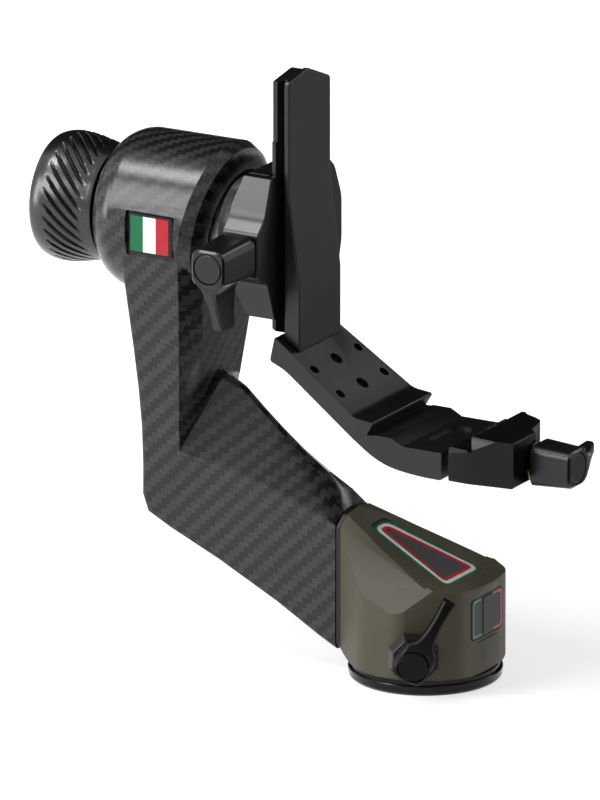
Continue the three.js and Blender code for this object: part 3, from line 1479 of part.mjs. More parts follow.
head.add(piece('arm_tongue', armTongue(), 'blackMetal'));
[armBoltLowZ, armBoltHighZ].forEach((z, i) => {
  const bolt = piece(`arm_bolt_${i + 1}`, armBolt(), 'steel');
  bolt.position.z = z;
  head.add(bolt);
});
head.add(piece('arm', arm(), 'carbon'));
head.add(piece('arm_label', armLabel(), 'white'));

const panControls = new THREE.Group();
panControls.rotation.z = toRad(panLeverAzimuthDeg);
const collar = piece('pan_collar', panCollar(), 'blackMetal');
collar.rotation.y = Math.PI / 2;
collar.position.set(panCollarStart, panLeverOffset, panLeverZ);
const pad = piece('brake_pad', brakePad(), 'brass');
pad.rotation.y = Math.PI / 2;
pad.position.set(brakePadStart, panLeverOffset, panLeverZ);
const panHandle = leverFrame(
  [panLeverStart, panLeverOffset, panLeverZ], [1, 0, 0],
  [0, Math.cos(toRad(panWingAngleDeg)), Math.sin(toRad(panWingAngleDeg))]);
panHandle.add(piece('pan_lever', panLever(), 'satinBlack'));
panHandle.add(piece('pan_lever_cap', leverCap(panLeverLength), 'satinBlack'));
panHandle.add(piece('pan_screw', panScrew(), 'steel'));
panControls.add(collar, pad, panHandle);
head.add(panControls);

const tiltLine = new THREE.Group();
tiltLine.position.z = tiltAxisZ;
tiltLine.add(piece('tilt_shaft', tiltShaft(), 'steel'));
tiltLine.add(piece('tilt_knob', tiltKnob(), 'blackMetal'));
tiltLine.add(piece('tilt_knob_cap', tiltKnobCap(), 'satinBlack'));
tiltLine.add(piece('drag_disc', dragDisc(), 'darkInlay'));
tiltLine.add(piece('shaft_bolt', shaftBolt(), 'steel'));
[['tilt_bearing_outer', tiltBearingLeftX], ['tilt_bearing_inner', tiltBearingRightX]].forEach(([name,
x]) => {
  const bearing = piece(name, tiltBearing(), 'steel');
  bearing.rotation.y = Math.PI / 2;
  bearing.position.x = x;
  tiltLine.add(bearing);
});
const ring = piece('bearing_retainer', retainerRing(), 'blackMetal');
ring.rotation.y = Math.PI / 2;
ring.position.x = retainerSeatX + gap;
tiltLine.add(ring);
head.add(tiltLine);

head.add(piece('clamp_body', clampBody(), 'satinBlack'));
head.add(piece('clamp_jaw', clampJaw(), 'satinBlack'));
[-clampJawPinSpread, clampJawPinSpread].forEach((dz, i) => {
  const pin = piece(`clamp_pin_${i + 1}`, clampPin(), 'steel');
  pin.position.set(clampPinX, 0, tiltAxisZ + dz);
  head.add(pin);
});
const clampHandle = leverFrame([clampScrewX, -clampHalfWidth - gap, clampScrewZ], [0, -1, 0], [0, 0, -1]);
clampHandle.add(piece('clamp_lever', screwLever(clampLeverLength), 'satinBlack'));
clampHandle.add(piece('clamp_lever_cap', leverCap(clampLeverLength), 'satinBlack'));
clampHandle.add(piece('clamp_screw',
  leverScrew(clampScrewRadius, clampHalfWidth + gap + clampScrewTipY, clampLeverLength), 'steel'));
head.add(clampHandle);

head.add(piece('riser_plate', riserPlate(), 'satinBlack'));
head.add(piece('riser_rail', riserRail(), 'satinBlack'));
railBoltHeights.forEach((z, i) => {
  const bolt = piece(`rail_bolt_${i + 1}`, railBolt(), 'steel');
  bolt.position.z = z;
  head.add(bolt);
});
head.add(piece('cradle_bracket', cradleBracket(), 'satinBlack'));
[-bracketBoltSpreadY, bracketBoltSpreadY].forEach((y, i) => {
  const bolt = piece(`bracket_bolt_${i + 1}`, bracketBolt(), 'steel');
  bolt.position.set(bracketBoltX, y, 0);
  head.add(bolt);
});

head.add(piece('lens_jaw', lensJaw(), 'satinBlack'));
[-lensPinSpreadY, lensPinSpreadY].forEach((y, i) => {
  const pin = piece(`lens_pin_${i + 1}`, lensPin(), 'steel');
  pin.position.set(0, y, lensScrewZ);
  head.add(pin);
});
const washer = piece('lens_washer', lensWasher(), 'brass');
washer.rotation.y = Math.PI / 2;
washer.position.set(jawPocketX + gap, 0, lensScrewZ);
head.add(washer);
const lensHandle = leverFrame([lensLeverStart, 0, lensScrewZ], [1, 0, 0], [0, 1, 0]);
lensHandle.add(piece('lens_lever', screwLever(lensLeverLength, lensBossLength), 'satinBlack'));
lensHandle.add(piece('lens_lever_cap', leverCap(lensLeverLength), 'satinBlack'));
lensHandle.add(piece('lens_screw', leverScrew(lensScrewRadius, lensLeverStart - lensScrewTipX,
  lensLeverLength), 'steel'));
head.add(lensHandle);

export default head;
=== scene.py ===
# Looks of a side-mount gimbal tripod head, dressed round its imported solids. Metres, +Z up.

import json
import math

import bmesh
import bpy
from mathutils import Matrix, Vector


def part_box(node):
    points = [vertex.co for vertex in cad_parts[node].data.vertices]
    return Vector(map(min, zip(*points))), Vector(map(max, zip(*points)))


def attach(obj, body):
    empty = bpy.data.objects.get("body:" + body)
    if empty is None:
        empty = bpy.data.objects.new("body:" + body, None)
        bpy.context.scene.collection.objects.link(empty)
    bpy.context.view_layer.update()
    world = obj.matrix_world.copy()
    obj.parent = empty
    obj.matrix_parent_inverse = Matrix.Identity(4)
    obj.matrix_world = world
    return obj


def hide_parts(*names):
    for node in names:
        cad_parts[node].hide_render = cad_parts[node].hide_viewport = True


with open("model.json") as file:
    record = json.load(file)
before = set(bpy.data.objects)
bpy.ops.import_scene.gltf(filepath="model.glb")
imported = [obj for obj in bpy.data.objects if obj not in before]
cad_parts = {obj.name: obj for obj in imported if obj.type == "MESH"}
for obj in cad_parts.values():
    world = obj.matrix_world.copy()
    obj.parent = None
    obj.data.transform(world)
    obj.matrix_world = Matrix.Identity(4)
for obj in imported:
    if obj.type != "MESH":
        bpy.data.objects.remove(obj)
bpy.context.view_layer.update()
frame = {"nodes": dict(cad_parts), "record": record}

MM = 0.001
SCENE = bpy.context.scene


# Shader helpers

NOISE_LOW = 0.3
NOISE_HIGH = 0.7


def grey(value):
    return (value, value, value, 1.0)


def opaque(colour, share=1.0):
    """A colour's red, green and blue times a share, as a solid colour."""
    return tuple(part * share for part in colour) + (1.0,)


class Graph:
    """A node tree with short calls for its nodes and links."""

    def __init__(self, tree):
        self.tree = tree

    def put(self, socket, value):
        if isinstance(value, bpy.types.NodeSocket):
            self.tree.links.new(value, socket)
        else:
            socket.default_value = value

    def node(self, kind, inputs=(), **settings):
        made = self.tree.nodes.new(kind)
        for key, value in settings.items():
            setattr(made, key, value)
        for key, value in dict(inputs).items():
            self.put(made.inputs[key], value)
        return made

    def math(self, operation, *terms):
        made = self.node("ShaderNodeMath", operation=operation)
        for socket, term in zip(made.inputs, terms):
            self.put(socket, term)
        return made.outputs[0]

    def scaled(self, value, factor, start=0.0):
        """The start plus the value times the factor."""
        product = self.math("MULTIPLY", value, factor)
        return self.math("ADD", start, product) if start else product

    def larger(self, first, second):
        return self.math("MAXIMUM", first, second)

    def blend(self, factor, first, second):
        """The first colour where the factor is 0 and the second where it is 1."""
        made = self.node("ShaderNodeMix", data_type="RGBA")
        for socket, value in ((0, factor), (6, first), (7, second)):
            self.put(made.inputs[socket], value)
        return made.outputs[2]

    def ramp(self, value, to_low=0.0, to_high=1.0, low=NOISE_LOW, high=NOISE_HIGH):
        """The value, spread from low and high out to to_low and to_high."""
        made = self.node("ShaderNodeMapRange", {"Value": value, "From Min": low, "From Max": high,
                                                "To Min": to_low, "To Max": to_high})
        return made.outputs[0]

    def place(self):
        """The X, Y and Z of a point in the object's own space."""
        return self.apart(self.node("ShaderNodeTexCoord").outputs["Object"])

    def apart(self, vector):
        return self.node("ShaderNodeSeparateXYZ", {"Vector": vector}).outputs

    def noise(self, scale, detail=3.0, roughness=0.5, vector=None, stretch=None):
        source = vector or self.node("ShaderNodeTexCoord").outputs["Object"]
        if stretch:
            source = self.node("ShaderNodeMapping", {"Vector": source, "Scale": stretch}).outputs[0]
        made = self.node("ShaderNodeTexNoise", {"Vector": source, "Scale": scale, "Detail": detail,
                                                "Roughness": roughness})
        return made.outputs["Fac"]

    def bump(self, height, strength, distance, under=None):
        made = self.node("ShaderNodeBump", {"Height": height, "Strength": strength, "Distance": distance})
        if under is not None:
            self.put(made.inputs["Normal"], under)
        return made.outputs[0]


class Finish(Graph):
    """A material's node tree, with its shader."""

    def __init__(self, name):
        self.material = bpy.data.materials.new(name)
        self.material.use_nodes = True
        super().__init__(self.material.node_tree)
        self.shader = self.tree.nodes["Principled BSDF"]

    def set(self, **values):
        for key, value in values.items():
            self.put(self.shader.inputs[key.replace("_", " ")], value)
        return self.material


# Metal, enamel and cloth, with noise scales in waves to the metre

FINE_BUMP = 0.1 * MM
PEEL_BUMP = 0.2 * MM
BLAST_GRAIN = 2600.0
WEAR_CLOUD = 38.0
TURNING_RINGS = 900.0
RING_STRETCH = (1.0, 1.0, 0.05)
METAL_CLOUD = 90.0
COAT_GRAIN = 1500.0
COAT_PEEL = 330.0
COAT_CLOUD = 24.0
COAT_TONES = ((0.044, 0.04, 0.025), (0.053, 0.048, 0.03))
ENAMEL_GRAIN = 1200.0
ENAMEL_CLOUD = 160.0
CLOTH_GRAIN = 1900.0
CLOTH_CLOUD = 70.0


def anodised(name, tone, roughness, sheen, grain=0.12):
    """Black anodised aluminium: fine blasted grain, slightly worn tone and roughness."""
    g = Finish(name)
    cloud = g.noise(WEAR_CLOUD, detail=4.0)
    return g.set(Base_Color=g.blend(g.ramp(cloud, low=0.35), grey(tone * 0.8), grey(tone * 1.25)),
                 Roughness=g.ramp(cloud, roughness - 0.015, roughness + 0.02),
                 Specular_IOR_Level=sheen,
                 Normal=g.bump(g.noise(BLAST_GRAIN, detail=2.0), grain, FINE_BUMP))


def turned_metal(name, colour):
    """Bright metal with fine turning rings and a slightly clouded tone."""
    g = Finish(name)
    rings = g.noise(TURNING_RINGS, detail=2.0, stretch=RING_STRETCH)
    cloud = g.noise(METAL_CLOUD)
    return g.set(Base_Color=g.blend(g.ramp(cloud), opaque(colour, 0.72), opaque(colour)),
                 Metallic=1.0,
                 Roughness=g.ramp(rings, 0.28, 0.42),
                 Normal=g.bump(rings, 0.15, FINE_BUMP))


def olive_coat():
    """Thick satin coat on a cast housing, with a fine orange-peel grain."""
    g = Finish("olive_coat")
    grain = g.noise(COAT_GRAIN, roughness=0.6)
    peel = g.bump(g.noise(COAT_PEEL, detail=2.0), 0.1, PEEL_BUMP)
    cloud = g.ramp(g.noise(COAT_CLOUD, detail=4.0))
    dull, bright = COAT_TONES
    return g.set(Base_Color=g.blend(cloud, opaque(dull), opaque(bright)),
                 Roughness=g.ramp(grain, 0.46, 0.56),
                 Specular_IOR_Level=0.26,
                 Normal=g.bump(grain, 0.16, FINE_BUMP, peel))


def enamel(name, colour):
    """Hard enamel with a faintly uneven gloss."""
    g = Finish(name)
    cloud = g.noise(ENAMEL_CLOUD)
    clouded = g.ramp(cloud, low=0.35, high=0.65)
    return g.set(Base_Color=g.blend(clouded, opaque(colour, 0.86), opaque(colour)),
                 Roughness=g.ramp(cloud, 0.3, 0.43),
                 Normal=g.bump(g.noise(ENAMEL_GRAIN), 0.05, FINE_BUMP))


def matt_cloth(name, tone):
    """The matt cloth of a studio board."""
    g = Finish(name)
    grain = g.noise(CLOTH_GRAIN, detail=2.0)
    cloud = g.ramp(g.noise(CLOTH_CLOUD), low=0.35, high=0.65)
    return g.set(Base_Color=g.blend(cloud, grey(tone * 0.8), grey(tone * 1.2)),
                 Roughness=g.ramp(grain, 0.84, 0.96),
                 Specular_IOR_Level=0.15,
                 Normal=g.bump(grain, 0.14, FINE_BUMP))


# Carbon weave

TOW_WIDTH = 2.1 * MM
WEAVE_REPEAT = 4.0
WEAVE_OVER = 1.5
FIBRE_LENGTHWISE = 260.0
FIBRE_CROSSWISE = 5200.0
TOW_BUMP = 0.12 * MM
COAT_BUMP = 0.06 * MM
FIBRE_BUMP = 0.04 * MM
# The lying tows are painted lighter than the standing ones, a painted sheen for light along one yarn
# direction; the jitters are random tone.
LYING_TOW_PAINTED_SHEEN_TONE = 0.018
LYING_JITTER = 0.007
STANDING_TOW_PAINTED_SHADE_TONE = 0.003
STANDING_JITTER = 0.0015


def tow_crown(g, across):
    """A tow's rounded height, from 0 at its edges to 1 over its middle."""
    side = g.math("ABSOLUTE", g.math("SUBTRACT", across, 0.5))
    return g.math("SUBTRACT", 1.0, g.math("POWER", g.math("MULTIPLY", side, 2.0), 4.0))


def carbon_weave():
    """Two-over-two twill under clear coat, its lying tows painted lighter than its standing ones as a
    painted sheen, and each tow painted darker towards its edges as painted shade. The UV map is in metres
    along the two yarn directions.
    """
    g = Finish("carbon_weave")
    uv = g.node("ShaderNodeUVMap", uv_map="weave").outputs[0]
    u, v = (g.math("DIVIDE", along, TOW_WIDTH) for along in g.apart(uv)[:2])
    column = g.math("FLOOR", u)
    row = g.math("FLOOR", v)
    phase = g.math("FLOORED_MODULO", g.math("SUBTRACT", column, row), WEAVE_REPEAT)
    lying = g.math("LESS_THAN", phase, WEAVE_OVER)
    standing = g.math("SUBTRACT", 1.0, lying)

    def woven(where_lying, where_standing):
        return g.math("ADD", g.math("MULTIPLY", lying, where_lying),
                      g.math("MULTIPLY", standing, where_standing))

    height = woven(tow_crown(g, g.math("FRACT", v)), tow_crown(g, g.math("FRACT", u)))
    fibre_u = g.noise(1.0, detail=2.0, vector=uv, stretch=(FIBRE_LENGTHWISE, FIBRE_CROSSWISE, 1.0))
    fibre_v = g.noise(1.0, detail=2.0, vector=uv, stretch=(FIBRE_CROSSWISE, FIBRE_LENGTHWISE, 1.0))
    fibre = g.blend(lying, fibre_v, fibre_u)
    cell = g.node("ShaderNodeCombineXYZ", {"X": column, "Y": row}).outputs[0]
    jitter = g.node("ShaderNodeTexWhiteNoise", {"Vector": cell}).outputs["Value"]
    # Painted sheen: the lying tows take the lighter tone and the standing tows the darker one.
    tone = woven(g.scaled(jitter, LYING_JITTER, LYING_TOW_PAINTED_SHEEN_TONE),
                 g.scaled(jitter, STANDING_JITTER, STANDING_TOW_PAINTED_SHADE_TONE))
    streaked = g.math("MULTIPLY", tone, g.ramp(fibre, 0.75, 1.25, low=0.25, high=0.75))
    # Painted shade: each tow is darkened towards its edges, where the tows dip under one another.
    tow_tone_with_painted_sheen_and_shade = g.math("MULTIPLY", streaked, g.ramp(height, 0.35, 1.0, low=0.0, high=0.35))
    colour = g.node("ShaderNodeCombineColor", {"Red": tow_tone_with_painted_sheen_and_shade, "Green": tow_tone_with_painted_sheen_and_shade, "Blue": g.scaled(tow_tone_with_painted_sheen_and_shade, 1.03)})
    return g.set(Base_Color=colour.outputs[0],
                 Roughness=g.ramp(fibre, 0.5, 0.6, low=0.25, high=0.75),
                 Specular_IOR_Level=0.06,
                 Normal=g.bump(height, 0.2, TOW_BUMP, g.bump(fibre, 0.1, FIBRE_BUMP)),
                 Coat_Weight=0.95,
                 Coat_Roughness=0.23,
                 Coat_IOR=1.4,
                 Coat_Normal=g.bump(height, 0.12, COAT_BUMP))


# Materials

CARBON = carbon_weave()
# A darker, duller copy of the satin black, painted shade for the shadow that falls on the low pan lever.
PAN_LEVER_SHADE_BLACK = anodised("pan_lever_painted_shade_black", 0.003, 0.36, 0.1)
SATIN = anodised("satin_black", 0.004, 0.29, 0.36)
GLOSS = anodised("gloss_black", 0.003, 0.2, 0.16)
KNOB_BLACK = anodised("knob_black", 0.004, 0.24, 0.6, grain=0.08)
OLIVE = olive_coat()
STEEL = turned_metal("bright_steel", (0.42, 0.42, 0.43))
BRASS = turned_metal("turned_brass", (0.62, 0.42, 0.16))
GREEN = enamel("green_enamel", (0.008, 0.115, 0.05))
WHITE = enamel("white_enamel", (0.62, 0.61, 0.57))
RED = enamel("red_enamel", (0.36, 0.014, 0.026))
DARK_CLOTH = matt_cloth("dark_cloth", 0.004)
GREY_CLOTH = matt_cloth("grey_cloth", 0.34)


# CAD nodes that keep their shape

# The dark inlays, the drag disc, the arm's tongue and the bearing retainer keep the frame's own finish
KEPT = (
    (STEEL, ("thread_bush", "pan_spindle", "flange_screw_1", "flange_screw_2", "flange_screw_3",
             "pan_bearing_lower", "pan_bearing_upper", "pan_retaining_washer", "pan_retaining_screw",
             "arm_bolt_1", "arm_bolt_2", "pan_screw", "tilt_shaft", "shaft_bolt", "tilt_bearing_outer",
             "tilt_bearing_inner", "clamp_pin_1", "clamp_pin_2", "clamp_screw", "rail_bolt_1", "rail_bolt_2",
             "rail_bolt_3", "bracket_bolt_1", "bracket_bolt_2", "lens_pin_1", "lens_pin_2", "lens_screw")),
    (BRASS, ("brake_pad",)),
    (GREEN, ("top_badge_green", "end_badge_green")),
    (WHITE, ("top_badge_white",)),
    (RED, ("top_badge_red", "end_badge_red")),
)
for material, nodes in KEPT:
    for node in nodes:
        slots = frame["nodes"][node].data.materials
        slots.clear()
        slots.append(material)


# CAD nodes whose edges are rounded

WELD_DISTANCE = 0.004 * MM
FLAT_ANGLE = math.radians(0.8)
SMOOTH_ANGLE = 38.0
LEAST_EDGE = 38.0


def body_of(node):
    bodies = frame["record"]["behaviour"]["bodies"]
    return next(body for body, members in bodies.items() if node in members)


def new_piece(name, mesh, body, material, node):
    """A piece of the scene that stands for a CAD node and rides on a body."""
    piece = bpy.data.objects.new(name, mesh)
    SCENE.collection.objects.link(piece)
    mesh.materials.clear()
    mesh.materials.append(material)
    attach(piece, body)
    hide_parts(node)
    return piece


def smooth_by_angle(mesh, degrees):
    for polygon in mesh.polygons:
        polygon.use_smooth = True
    mesh.set_sharp_from_angle(angle=math.radians(degrees))


def merged_copy(node):
    """A CAD node's mesh with its corners welded and its flat faces whole."""
    mesh = frame["nodes"][node].data.copy()
    bm = bmesh.new()
    bm.from_mesh(mesh)
    bmesh.ops.remove_doubles(bm, verts=bm.verts, dist=WELD_DISTANCE)
    bmesh.ops.dissolve_limit(bm, angle_limit=FLAT_ANGLE, verts=bm.verts, edges=bm.edges)
    bmesh.ops.recalc_face_normals(bm, faces=bm.faces)
    bm.to_mesh(mesh)
    bm.free()
    return mesh


def dressed(node, material, width, segments, limit):
    """A CAD node's shape with its edges sharper than the limit rounded over, in millimetres and degrees."""
    mesh = merged_copy(node)
    piece = new_piece(node + "_finish", mesh, body_of(node), material, node)
    smooth_by_angle(mesh, SMOOTH_ANGLE)
    bevel = piece.modifiers.new("edge_round", "BEVEL")
    bevel.width = width * MM
    bevel.segments = segments
    bevel.limit_method = "ANGLE"
    bevel.angle_limit = math.radians(limit)
    bevel.harden_normals = True
    bevel.use_clamp_overlap = True
    return piece


# Each row has a node, a material, a width, a count of segments and the least angle
ROUNDED = (
    ("housing", OLIVE, 1.9, 4, 20.0),
    ("base_flange", GLOSS, 0.8, 4, LEAST_EDGE),
    ("clamp_body", SATIN, 0.8, 4, LEAST_EDGE),
    ("clamp_jaw", SATIN, 0.8, 4, LEAST_EDGE),
    ("riser_plate", SATIN, 0.6, 4, LEAST_EDGE),
    ("riser_rail", SATIN, 0.4, 3, LEAST_EDGE),
    ("cradle_bracket", SATIN, 0.45, 3, 24.0),
    ("lens_jaw", GLOSS, 0.5, 3, LEAST_EDGE),
    ("clamp_lever", SATIN, 0.6, 3, LEAST_EDGE),
    ("clamp_lever_cap", SATIN, 0.2, 2, LEAST_EDGE),
    ("lens_lever", SATIN, 0.6, 3, LEAST_EDGE),
    ("lens_lever_cap", SATIN, 0.2, 2, LEAST_EDGE),
    # The pan lever and its cap wear the painted-shade copy of the black.
    ("pan_lever", PAN_LEVER_SHADE_BLACK, 0.6, 3, LEAST_EDGE),
    ("pan_lever_cap", PAN_LEVER_SHADE_BLACK, 0.2, 2, LEAST_EDGE),
    ("pan_collar", SATIN, 0.4, 2, LEAST_EDGE),
    ("tilt_knob_cap", SATIN, 0.2, 2, LEAST_EDGE),
    ("lens_washer", BRASS, 0.25, 2, LEAST_EDGE),
)
for row in ROUNDED:
    dressed(*row)


# Tilt knob, in millimetres

TILT_AXIS_Z = 168.7
GROOVES = 30
STEPS_PER_GROOVE = 18
GROOVE_DEPTH = 1.5
GROOVE_TWIST = math.radians(38.0)
GROOVE_START_X = -140.6
GROOVE_END_X = -156.0
GROOVE_END_SHARE = 0.2
GROOVE_NARROW_SHARE = 0.13
GROOVE_SWELL_SHARE = 0.11
GROOVE_ROUNDNESS = 1.6
LEAST_LENS = 0.02
KNOB_SMOOTH_ANGLE = 32.0
GRIP_STEPS = 27

# Places along X and the radius there, from the arm outwards
GRIP = ((-138.6, 22.5), (-142.5, 23.4), (-146.5, 24.25), (-150.0, 24.95), (-153.5, 25.4), (-157.0, 25.45),
        (-159.0, 25.2))
INNER_RIM = ((-136.4, 6.4), (-136.4, 21.6), (-136.7, 22.1), (-137.2, 22.3))
OUTER_BAND = ((-160.8, 24.7), (-162.0, 24.2), (-162.8, 23.6), (-163.2, 22.9), (-163.35, 22.2),
              (-163.35, 15.9), (-163.1, 15.3), (-161.1, 15.1), (-161.1, 6.4))


def grip_radius(x):
    for (x0, r0), (x1, r1) in zip(GRIP, GRIP[1:]):
        if x >= x1:
            return r0 + (r1 - r0) * (x0 - x) / (x0 - x1)
    return GRIP[-1][1]


def groove_depth(angle, lens):
    """How deep the flutes are at an angle, where they are as full as lens says, from 0 to 1."""
    middle = abs((angle * GROOVES / (2 * math.pi)) % 1.0 - 0.5)
    across = middle / (GROOVE_NARROW_SHARE + GROOVE_SWELL_SHARE * lens)
    return GROOVE_DEPTH * lens * max(0.0, 1.0 - across ** GROOVE_ROUNDNESS)


def knob_ring(x, radius, fluted):
    """One ring of the knob, turned by as much as the flutes have twisted there."""
    run = min(max((x - GROOVE_START_X) / (GROOVE_END_X - GROOVE_START_X), 0.0), 1.0)
    lens = min(1.0, min(run, 1.0 - run) / GROOVE_END_SHARE) ** 0.5 if fluted else 0.0
    count = GROOVES * STEPS_PER_GROOVE
    ring = []
    for i in range(count):
        angle = 2 * math.pi * i / count
        reach = radius - groove_depth(angle, lens) if lens > LEAST_LENS else radius
        turn = angle - GROOVE_TWIST * run
        ring.append((x, reach * math.cos(turn), TILT_AXIS_Z + reach * math.sin(turn)))
    return ring


def loop_mesh(name, rings):
    """Skins rings of equal counts of points in millimetres, the last one joined to the first."""
    mesh = bpy.data.meshes.new(name)
    bm = bmesh.new()
    rows = [[bm.verts.new(Vector(point) * MM) for point in ring] for ring in rings]
    count = len(rows[0])
    for low, high in zip(rows, rows[1:] + rows[:1]):
        for i in range(count):
            j = (i + 1) % count
            bm.faces.new((low[i], low[j], high[j], high[i]))
    bmesh.ops.recalc_face_normals(bm, faces=bm.faces)
    bm.to_mesh(mesh)
    bm.free()
    return mesh


def knob_mesh():
    """A grip with slanted lens-shaped flutes, a smooth outer band, a sunk face and a bore."""
    first = GRIP[0][0]
    last = GRIP[-1][0]
    grip = [first + (last - first) * i / GRIP_STEPS for i in range(GRIP_STEPS + 1)]
    rings = [knob_ring(x, radius, False) for x, radius in INNER_RIM]
    rings += [knob_ring(x, grip_radius(x), True) for x in grip]
    rings += [knob_ring(x, radius, False) for x, radius in OUTER_BAND]
    return loop_mesh("tilt_knob_grip", rings)


knob = new_piece("tilt_knob_grip", knob_mesh(), "drag_knob", KNOB_BLACK, "tilt_knob")
smooth_by_angle(knob.data, KNOB_SMOOTH_ANGLE)


# Striped plate on the barrel

LABEL_LOW, LABEL_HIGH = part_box("arm_label")
LABEL_SHIFT = 0.5 * MM
LABEL_X = (LABEL_LOW[0] + LABEL_HIGH[0]) / 2 - LABEL_SHIFT
LABEL_Z = (LABEL_LOW[2] + LABEL_HIGH[2]) / 2
LABEL_BAND = 5.6 * MM
LABEL_HALF_HEIGHT = 7.1 * MM
LABEL_GREENS = ((0.006, 0.1, 0.04), (0.007, 0.12, 0.048))
LABEL_WHITES = ((0.68, 0.67, 0.63), (0.78, 0.77, 0.72))
LABEL_REDS = ((0.33, 0.014, 0.022), (0.38, 0.016, 0.026))
# The border tone is painted shade, for the recess the plate sits in.
LABEL_RECESS_SHADE_TONE = 0.006


def striped_enamel():
    """Three upright bands, green, white and red, across the plate, inside a dark border that is painted
    shade for the plate's recess.
    """
    g = Finish("striped_enamel")
    x, _, z = g.place()
    cloud = g.noise(ENAMEL_CLOUD)
    clouded = g.ramp(cloud, low=0.35, high=0.65)
    green, white, red = (g.blend(clouded, opaque(dull), opaque(bright))
                         for dull, bright in (LABEL_GREENS, LABEL_WHITES, LABEL_REDS))
    past_green = g.math("GREATER_THAN", x, LABEL_X - LABEL_BAND / 2)
    past_white = g.math("GREATER_THAN", x, LABEL_X + LABEL_BAND / 2)
    stripes = g.blend(past_white, g.blend(past_green, green, white), red)
    off_x = g.math("ABSOLUTE", g.math("SUBTRACT", x, LABEL_X))
    off_z = g.math("ABSOLUTE", g.math("SUBTRACT", z, LABEL_Z))
    # Painted shade: a dark border round the bands, where the plate's recess lies in shade.
    recess_shade_border = g.larger(g.math("GREATER_THAN", off_x, LABEL_BAND * 1.5),
                      g.math("GREATER_THAN", off_z, LABEL_HALF_HEIGHT))
    return g.set(Base_Color=g.blend(recess_shade_border, stripes, grey(LABEL_RECESS_SHADE_TONE)),
                 Roughness=g.ramp(cloud, 0.4, 0.5),
                 Specular_IOR_Level=0.2,
                 Normal=g.bump(g.noise(ENAMEL_GRAIN), 0.05, FINE_BUMP))


dressed("arm_label", striped_enamel(), 0.3, 2, LEAST_EDGE)


# Arm

BARREL_AXIS_Z = TILT_AXIS_Z * MM
BARREL_RADIUS = 31.6 * MM
BARREL_SHOULDER_X = -122.7 * MM
BARREL_SLACK = 1.02
LEAST_OUTWARD = 0.05
NEAR_SIDE_SLOPE = 0.62


def on_barrel(polygon):
    """Whether a face belongs to the round top half of the barrel or to its domed end."""
    x, y, z = polygon.center
    up = z - BARREL_AXIS_Z
    reach = math.hypot(y, up)
    if (polygon.normal.y * y + polygon.normal.z * up) / reach <= LEAST_OUTWARD:
        return False
    return up > 0.0 or (x < BARREL_SHOULDER_X and reach < BARREL_RADIUS * BARREL_SLACK)


def barrel_weave(p):
    """Along the barrel's side and round its axis, unrolled from its near side over the top."""
    up = p.z - BARREL_AXIS_Z
    past = min(p.x - BARREL_SHOULDER_X, 0.0)
    dome = math.hypot(past, BARREL_RADIUS - math.hypot(p.y, up))
    along = BARREL_SHOULDER_X - dome if past else p.x
    return along, BARREL_AXIS_Z + BARREL_RADIUS * math.atan2(up, -p.y)


def side_weave(p, n):
    """Straight across the side of the shape that a face is on."""
    if abs(n.y) >= NEAR_SIDE_SLOPE:
        return p.x * (1 if n.y < 0 else -1), p.z
    if abs(n.x) >= abs(n.z):
        return p.y * (1 if n.x > 0 else -1), p.z
    return p.x, p.y


def write_weave(mesh):
    """Gives every face its place on the weave, in metres."""
    layer = mesh.uv_layers.new(name="weave")
    for polygon in mesh.polygons:
        round_face = on_barrel(polygon)
        for loop in polygon.loop_indices:
            p = mesh.vertices[mesh.loops[loop].vertex_index].co
            layer.data[loop].uv = barrel_weave(p) if round_face else side_weave(p, polygon.normal)


arm = dressed("arm", CARBON, 0.8, 3, 30.0)
write_weave(arm.data)
evened = arm.modifiers.new("even_normals", "WEIGHTED_NORMAL")
evened.keep_sharp = True
evened.weight = 80


# Camera

CAMERA_AZIMUTH = math.radians(30.0)
CAMERA_ELEVATION = math.radians(17.14)
CAMERA_LENS = 1200.0
SENSOR_WIDTH = 36.0
FRAME_HEIGHT = 0.308
VIEW_CENTRE = Vector((-0.0558, 0.0, 0.1014))


def place_camera():
    data = bpy.data.cameras.new("camera")
    data.lens = CAMERA_LENS
    data.sensor_width = SENSOR_WIDTH
    data.clip_start = 0.5
    data.clip_end = 60.0
    camera = bpy.data.objects.new("camera", data)
    SCENE.collection.objects.link(camera)
    back = Vector((math.sin(CAMERA_AZIMUTH) * math.cos(CAMERA_ELEVATION),
                   -math.cos(CAMERA_AZIMUTH) * math.cos(CAMERA_ELEVATION),
                   math.sin(CAMERA_ELEVATION)))
    distance = FRAME_HEIGHT * CAMERA_LENS / SENSOR_WIDTH
    camera.location = VIEW_CENTRE + back * distance
    camera.rotation_mode = "QUATERNION"
    camera.rotation_quaternion = (-back).to_track_quat("-Z", "Y")
    SCENE.camera = camera


# Lamps and boards

# Each row has a name, a place, an aim, a width and height, and a power or a cloth
LAMPS = (
    ("key", (-0.8, -1.3, 0.95), (-0.05, 0.0, 0.13), (0.9, 0.9), 23.0),
    ("edge", (-0.77, -0.44, 1.45), (-0.05, 0.0, 0.1), (0.4, 0.4), 10.0),
    ("rim", (0.44, 1.24, 0.95), (-0.05, 0.0, 0.1), (0.4, 0.4), 2.5),
    ("left", (-1.42, -0.98, 0.28), (-0.1, 0.0, 0.15), (0.45, 1.3), 17.0),
    ("fill", (1.3, 0.5, 0.6), (0.0, 0.0, 0.12), (1.0, 1.0), 4.0),
)
BOARDS = (
    ("flag_back", (-0.55, 1.25, 0.95), (-0.05, 0.0, 0.15), (3.0, 2.3), DARK_CLOTH),
    ("flag_side", (0.62, -0.3, 0.1), (-0.05, 0.0, 0.15), (0.9, 0.6), DARK_CLOTH),
    ("flag_floor", (0.46, -0.29, 0.004), (0.46, -0.29, 1.0), (0.8, 0.5), DARK_CLOTH),
    ("flag_far", (0.4, 0.55, 0.004), (0.4, 0.55, 1.0), (0.9, 0.8), GREY_CLOTH),
)


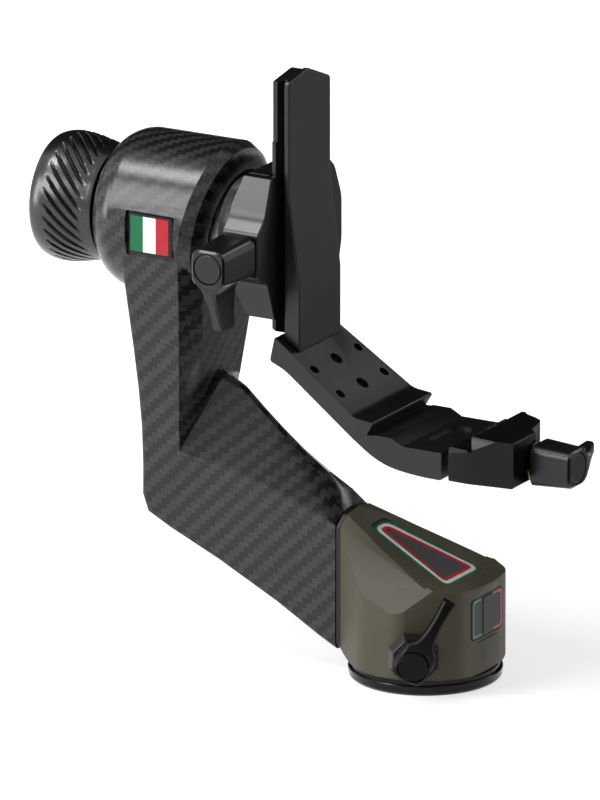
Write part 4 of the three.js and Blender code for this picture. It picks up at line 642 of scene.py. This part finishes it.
def aimed(piece, place, aim, front):
    """Puts a lamp or board in its place with its front axis towards the aim."""
    SCENE.collection.objects.link(piece)
    piece.location = place
    piece.rotation_mode = "QUATERNION"
    piece.rotation_quaternion = (Vector(aim) - Vector(place)).to_track_quat(front, "Y")
    piece.visible_camera = False


def lamp(name, place, aim, size, power):
    data = bpy.data.lights.new(name, "AREA")
    data.energy = power
    data.shape = "RECTANGLE"
    data.size, data.size_y = size
    aimed(bpy.data.objects.new(name, data), place, aim, "-Z")


def square_mesh(name, half_side):
    mesh = bpy.data.meshes.new(name)
    bm = bmesh.new()
    bmesh.ops.create_grid(bm, x_segments=1, y_segments=1, size=half_side)
    bm.to_mesh(mesh)
    bm.free()
    return mesh


def board(name, place, aim, size, cloth):
    """A matt studio board that only reflections meet."""
    piece = bpy.data.objects.new(name, square_mesh(name, 0.5))
    piece.scale = (*size, 1.0)
    piece.data.materials.append(cloth)
    piece.visible_shadow = False
    piece.visible_diffuse = False
    aimed(piece, place, aim, "Z")


# Floor and world

FLOOR_HALF_SIDE = 12.0
FLOOR_DROP = 0.2 * MM
GLOW_START = 0.12
GLOW_END = 0.55
GLOW_NEAR = 0.66
FLOOR_LIT_TONE = 0.9
FLOOR_SEEN_TONE = 0.45
WORLD_TONE = 0.3


def mirrored_and_seen(g):
    """Whether a ray came off gloss or through glass, and whether it did so or came from the camera."""
    path = g.node("ShaderNodeLightPath").outputs
    mirrored = g.larger(path["Is Glossy Ray"], path["Is Transmission Ray"])
    return mirrored, g.larger(path["Is Camera Ray"], mirrored)


def lay_floor():
    """A pale floor that glows to white away from the object and keeps its shadow near it."""
    floor = bpy.data.objects.new("floor", square_mesh("floor", FLOOR_HALF_SIDE))
    floor.location.z = -FLOOR_DROP
    SCENE.collection.objects.link(floor)
    g = Finish("floor_paint")
    x, y, _ = g.place()
    away = g.math("SQRT", g.math("ADD", g.math("POWER", x, 2.0), g.math("POWER", y, 2.0)))
    mirrored, seen = mirrored_and_seen(g)
    near_glow = g.math("MULTIPLY", seen, g.ramp(away, GLOW_NEAR, 1.0, low=GLOW_START, high=GLOW_END))
    floor.data.materials.append(g.set(Base_Color=g.blend(seen, grey(FLOOR_LIT_TONE), grey(FLOOR_SEEN_TONE)),
                                      Roughness=0.9,
                                      Specular_IOR_Level=0.1,
                                      Emission_Color=grey(1.0),
                                      Emission_Strength=g.larger(mirrored, near_glow)))


def fill_world():
    """A white world for the camera and for reflections, and a grey one for plain light."""
    world = bpy.data.worlds.new("studio")
    SCENE.world = world
    world.use_nodes = True
    g = Graph(world.node_tree)
    _, seen = mirrored_and_seen(g)
    g.put(g.tree.nodes["Background"].inputs["Color"], g.blend(seen, grey(WORLD_TONE), grey(1.0)))


place_camera()
for row in LAMPS:
    lamp(*row)
for row in BOARDS:
    board(*row)
lay_floor()
fill_world()
SCENE.view_settings.view_transform = "Standard"
